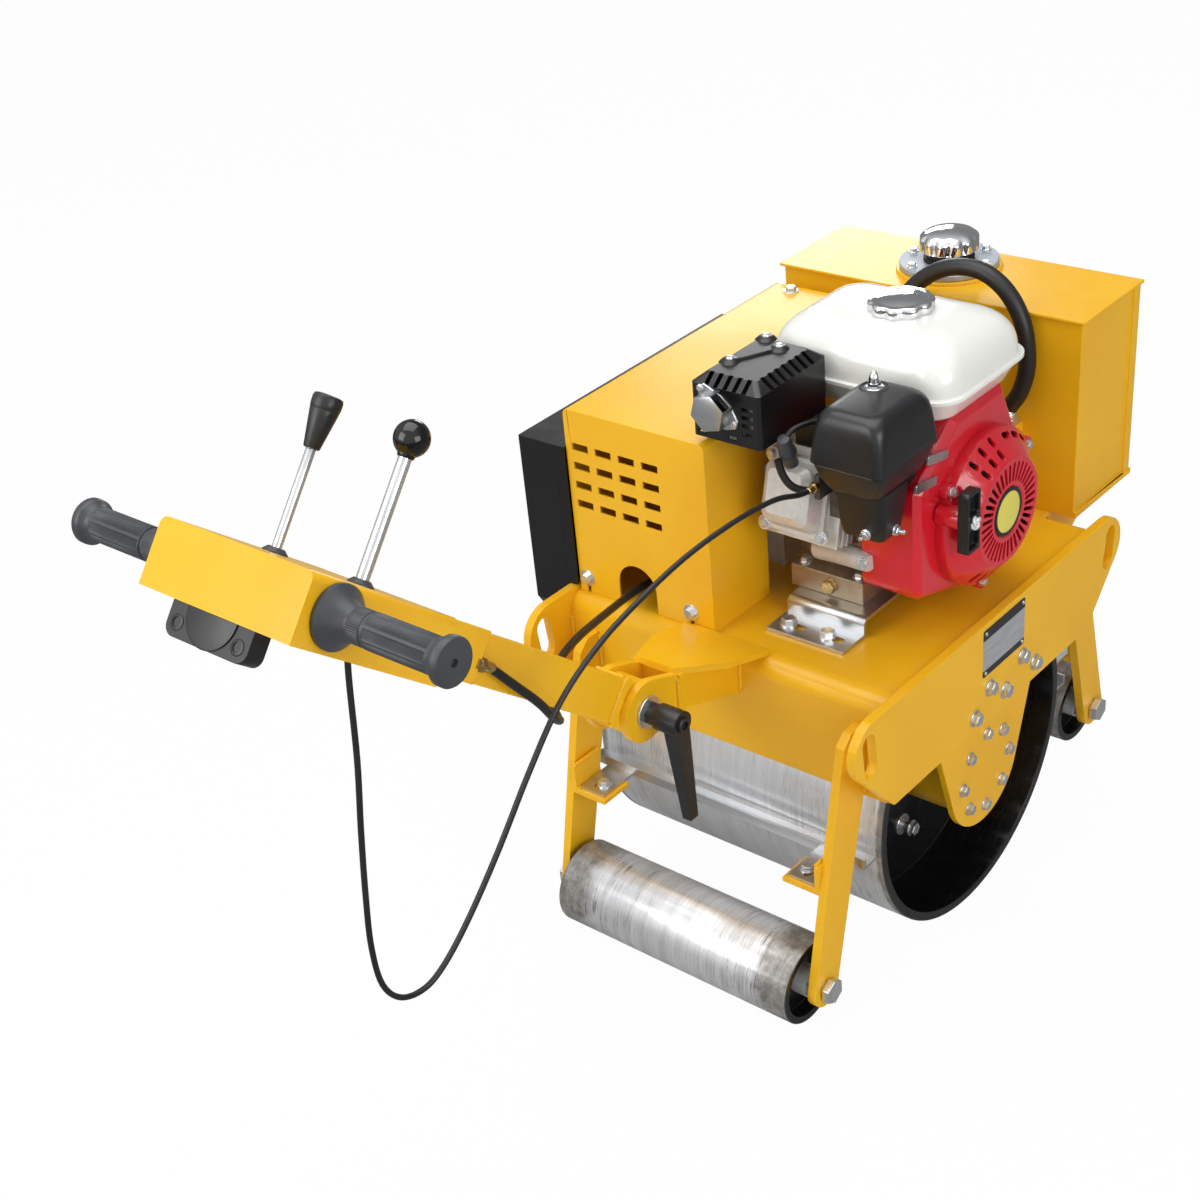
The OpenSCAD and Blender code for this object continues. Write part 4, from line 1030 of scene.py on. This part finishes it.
def make_engine_bolts():
    shape = bmesh.new()
    for up in (-42, 42):
        for y in (-40, 40):
            hex_head(shape, cylinder_place(up, y, 158), 6, 1.4)
    for angle in (145.6, 25, -95):
        x, z = polar(98, math.radians(angle))
        hex_bolt(shape, (CRANK[0] + x, -217, CRANK[1] + z), RIGHT, 6, 10, 1.2, 1.1)
    stud_nut(shape, (-164, -172, 612), REAR, 6, 8)
    stud_nut(shape, (-139, -194, 612), RIGHT, 6, 8)
    new_piece("engine_bolts", shape, ZINC)

    shape = bmesh.new()
    place = facing((*CLEANER_STUD, 765.4), UP)
    loft(shape, place, [(ring(7.4, 6), -0.4), (ring(7.4, 6), 6.4), (ring(6.4, 6), 7)])
    lathe(shape, place, [(6.3, 6.4), (6.3, 10), (5.6, 14), (4, 17.6), (1.8, 19.6), (0.4, 20)], 32)
    lathe(shape, place, [(11, -0.4), (11, 0.8), (10.4, 1.2)], 32)
    new_piece("air_cleaner_nut", shape, CHROME)

    shape = bmesh.new()
    for x, y in MUFFLER_SCREWS:
        screw_head(shape, (x, y, 785), UP, 5, 3)
    new_piece("muffler_screws", shape, ZINC)
    shape = bmesh.new()
    for x, y in MUFFLER_SCREWS:
        lathe(shape, facing((x, y, 782), UP), [(13, -0.6), (11, 1), (9.4, 2.6), (8.6, 3.2)], 32)
    slab(shape, facing((-130, 0, 782), UP, -28), round_rect(58, 12, 5.9), -0.6, 2.4, 1.2)
    new_piece("muffler_pads", shape, BLACK_GLOSS)


def make_silencer_can():
    """The silencer's own can, which shows through the guard's louvres."""
    shape = bmesh.new()
    slab(shape, facing((-139.5, -14, 0), UP), round_rect(112, 77, 6), 706.4, 760.5, 2)
    new_piece("silencer_can", shape, CAN_STEEL)


LUG_ROUTE = ((-84, -52, 522), (-91, -78, 528), (-101, -106, 535), (-109, -128, 539), (-113, -142, 540))


def make_crankcase_lug():
    """Cast lug on the crankcase's rear edge, between its foot and the fan shroud, with its bolt."""
    tube_piece("crankcase_lug", CAST, smooth_route(LUG_ROUTE, 6), lambda t: 14 - 4 * t ** 3, 20)
    shape = bmesh.new()
    hex_bolt(shape, (-120, -136, 542), (-0.8, -0.5, 0.2), 6, 0, 1.4)
    new_piece("crankcase_lug_bolt", shape, ZINC)


def make_guard_flange():
    """Turned-in edge of the belt guard, from its open side to the hood, and the guard's outer bolts."""
    back, low, top, sheet = 212, 448, 643, 2.5
    outline = [(-back, low), (-back, top), (back, top), (back, low), (back - sheet, low),
               (back - sheet, top - sheet), (sheet - back, top - sheet), (sheet - back, low)]
    shape = bmesh.new()
    loft(shape, facing((0, 0, 0), LEFT), [(outline, 234.4), (outline, 249.2)])
    new_piece("belt_guard_flange", shape, BLACK_COAT)
    shape = bmesh.new()
    for x, z in ((-188, 620), (188, 620), (-188, 432), (188, 432), (0, 162)):
        hex_bolt(shape, (x, 309, z), LEFT, 8, 0.4 * x, WASHER, 1.3)
    new_piece("belt_guard_bolts", shape, ZINC)


DEFLECTOR_FLANGE = ((-18, 26), (-26, 20), (-25, 10), (-20, -12), (-2, -24), (12, -25), (25, -21), (28, -12),
                    (20, 4), (6, 16))


def make_deflector():
    """Spark deflector on the exhaust outlet: a flanged half-hexagon cup, open on one side."""
    shape = bmesh.new()
    place = facing((-206, -4, 748), REAR)
    outer, inner = [[polar(radius, math.radians(a)) for a in range(75, 376, 60)] for radius in (23.5, 21.5)]
    loft(shape, place, [(outer + inner[::-1], 1), (outer + inner[::-1], 20)])
    loft(shape, place, [(outer, 19.5), (outer, 20.6), ([(0.86 * x, 0.86 * y) for x, y in outer], 22)])
    slab(shape, place, DEFLECTOR_FLANGE, -1, 1.4)
    new_piece("exhaust_deflector", shape, ROLLED_ZINC)
    shape = bmesh.new()
    for y, z in ((18, 768), (-27, 732)):
        screw_head(shape, (-207, y, z), REAR, 4.6, 3)
    new_piece("deflector_screws", shape, ZINC)


def make_recoil_fittings():
    place = facing((CRANK[0], -243.5, CRANK[1]), RIGHT)
    rim = [(30.6, -0.3), (30.6, 0.9), (30, 1.3), (25.6, 1.3), (25.4, 0.6)]
    turned_piece("recoil_disc_ring", BLACK_PLASTIC, place, rim, 64)
    turned_piece("recoil_disc", DISC_COAT, place, [(25.6, 0.2), (25.6, 1.0), (24.8, 1.25)], 64)
    place = facing((-65, -253.2, 602), RIGHT)
    strand = []
    for k in range(61):
        turn = 2 * math.pi * k / 60
        x, y = polar(4.4 + 2.2 * math.cos(3 * turn), 2 * turn)
        strand.append(place @ mm(x, y, 2.0 * math.sin(3 * turn)))
    tube_piece("pull_rope_knot", WHITE_ZINC, strand, 2.3, 12)


LEAD_ROUTE = ((-180, -76, 712), (-172, -80, 722), (-150, -88, 724), (-120, -96, 716), (-92, -106, 704),
              (-74, -118, 690))
BREATHER_ROUTE = ((-186, -70, 690), (-184, -74, 672), (-178, -82, 656), (-166, -94, 648), (-150, -104, 646))
ELBOW_ROUTE = ((-98, -176, 672), (-92, -178, 654), (-90, -176, 634), (-94, -168, 612), (-104, -156, 600))


def make_ignition():
    """Spark-plug cap with its lead, the breather hose beside it, the fuel levers and the intake's elbow."""
    cap = [(6, -22), (8.6, -20), (9, -4), (10.4, -2), (10.4, 4), (9, 6), (8.4, 20), (7, 25), (4, 26)]
    turned_piece("spark_plug_cap", GRIP_RUBBER, facing((-172, -74, 694), (-0.45, -0.1, 0.9)), cap, 28)
    shape = bmesh.new()
    sweep(shape, smooth_route(LEAD_ROUTE, 8), 3.6, 12)
    sweep(shape, smooth_route(BREATHER_ROUTE, 8), 4.6, 14)
    new_piece("breather_hose", shape, CABLE_SKIN)
    shape = bmesh.new()
    for x, z, spin in ((-72, 676, -12), (-96, 652, -8)):
        slab(shape, facing((x, -206, z), RIGHT, spin), round_rect(44, 11, 2.5), -0.2, 2.2, 0.4)
    new_piece("fuel_levers", shape, ROLLED_ZINC)
    elbow = smooth_route(ELBOW_ROUTE, 8)
    tube_piece("intake_elbow", BLACK_PLASTIC, elbow, lambda t: 13 + 0.8 * math.sin(40 * t), 20)


def make_drum_fittings():
    """Bolts with spacers on the drum's two webs."""
    shape = bmesh.new()
    for side in (-1, 1):
        for k in range(6):
            x, z = polar(116, math.radians(60 * k - 105))
            z += DRUM_AXLE[1]
            place = facing((x, side * 131, z), (0, side, 0), 60 * k)
            lathe(shape, place, [(15, -0.4), (15, 2.4), (14.4, 3)], 32)
            lathe(shape, place, [(7, 2), (7, 15), (6.6, 15.4)], 24)
            hex_bolt(shape, (x, side * 146, z), (0, side, 0), 10, 60 * k, 2)
    new_piece("drum_web_bolts", shape, ZINC, "drum")


make_frame_bolts()
make_name_plate()
make_welds()
make_levers()
make_control_dial()
make_pivot_fittings()
make_cable_ends()
make_hose_ends()
make_caps()
make_fuel_tank()
make_air_cleaner()
make_axle_collars()
make_engine_bolts()
make_silencer_can()
make_crankcase_lug()
make_guard_flange()
make_deflector()
make_recoil_fittings()
make_ignition()
make_drum_fittings()


# Floor, light and background, in metres: white to the camera, dimmer in mirrors and as light
FLOOR_SIZE = 30.0
FLOOR_DROP = 0.0005
FLOOR_TONE = (0.86, 0.86, 0.86, 1)
FLOOR_SEEN = 0.97
FLOOR_MIRRORED = 0.2
FLOOR_MIRROR_SHARE = 0.85
SKY_SLOPE = (-0.2, 0.65)
SKY_MIRRORED = (0.25, 0.95)
AMBIENT = 0.42


def ray_kinds(tree):
    """Whether a ray is seen directly or through something clear, and whether it is mirrored."""
    path = add(tree, "ShaderNodeLightPath").outputs
    return larger(tree, path["Is Camera Ray"], path["Is Transmission Ray"]), path["Is Glossy Ray"]


def make_floor():
    shape = bmesh.new()
    bmesh.ops.create_grid(shape, x_segments=2, y_segments=2, size=FLOOR_SIZE / 2)
    mesh = bpy.data.meshes.new("studio_floor")
    shape.to_mesh(mesh)
    shape.free()
    floor = bpy.data.objects.new("studio_floor", mesh)
    floor.location.z = -FLOOR_DROP
    bpy.context.scene.collection.objects.link(floor)
    material, tree, shader = new_material("pale_floor")
    shader.inputs["Base Color"].default_value = FLOOR_TONE
    shader.inputs["Roughness"].default_value = 0.9
    shader.inputs["Specular IOR Level"].default_value = 0.1
    clear, mirrored = ray_kinds(tree)
    level = larger(tree, clear, times(tree, mirrored, FLOOR_MIRRORED))
    glow = add(tree, "ShaderNodeEmission", {"Color": WHITE, "Strength": level}).outputs[0]
    share = larger(tree, times(tree, clear, FLOOR_SEEN), times(tree, mirrored, FLOOR_MIRROR_SHARE))
    blend = add(tree, "ShaderNodeMixShader", {0: share, 1: shader.outputs[0], 2: glow})
    output = next(node for node in tree.nodes if node.type == "OUTPUT_MATERIAL")
    feed(tree, output.inputs["Surface"], blend.outputs[0])
    mesh.materials.append(material)


def make_world():
    world = bpy.data.worlds.new("white_studio")
    bpy.context.scene.world = world
    world.use_nodes = True
    tree = world.node_tree
    background = next(node for node in tree.nodes if node.type == "BACKGROUND")
    background.inputs["Color"].default_value = WHITE
    clear, glossy = ray_kinds(tree)
    way = split(tree, add(tree, "ShaderNodeTexCoord").outputs["Generated"])
    rear = times(tree, minus(tree, way["Z"], way["X"]), 0.6)
    mirrored = times(tree, ramp(tree, rear, *SKY_SLOPE, *SKY_MIRRORED), glossy)
    other = minus(tree, 1.0, larger(tree, clear, glossy))
    ambient = larger(tree, mirrored, times(tree, other, AMBIENT))
    feed(tree, background.inputs["Strength"], larger(tree, clear, ambient))


def make_softbox(name, place, target, size, watts):
    data = bpy.data.lights.new(name, "AREA")
    data.shape = "RECTANGLE"
    data.size, data.size_y = size
    data.energy = watts
    lamp = bpy.data.objects.new(name, data)
    lamp.location = place
    lamp.rotation_euler = (Vector(target) - Vector(place)).to_track_quat("-Z", "Y").to_euler()
    bpy.context.scene.collection.objects.link(lamp)


make_floor()
make_world()
make_softbox("overhead_softbox", (-0.2, 0.3, 3.2), (-0.1, 0, 0.5), (2.6, 2.6), 54)
make_softbox("front_left_softbox", (2.24, 1.62, 1.43), (0, 0, 0.7), (0.9, 0.7), 13)
make_softbox("rear_left_softbox", (-2.6, 0.9, 2.0), (-0.2, 0, 0.5), (1.6, 1.6), 30)
make_softbox("rear_right_softbox", (-1.0, -2.8, 1.6), (0, 0, 0.5), (1.8, 1.4), 30)

bpy.context.scene.view_settings.view_transform = "Standard"
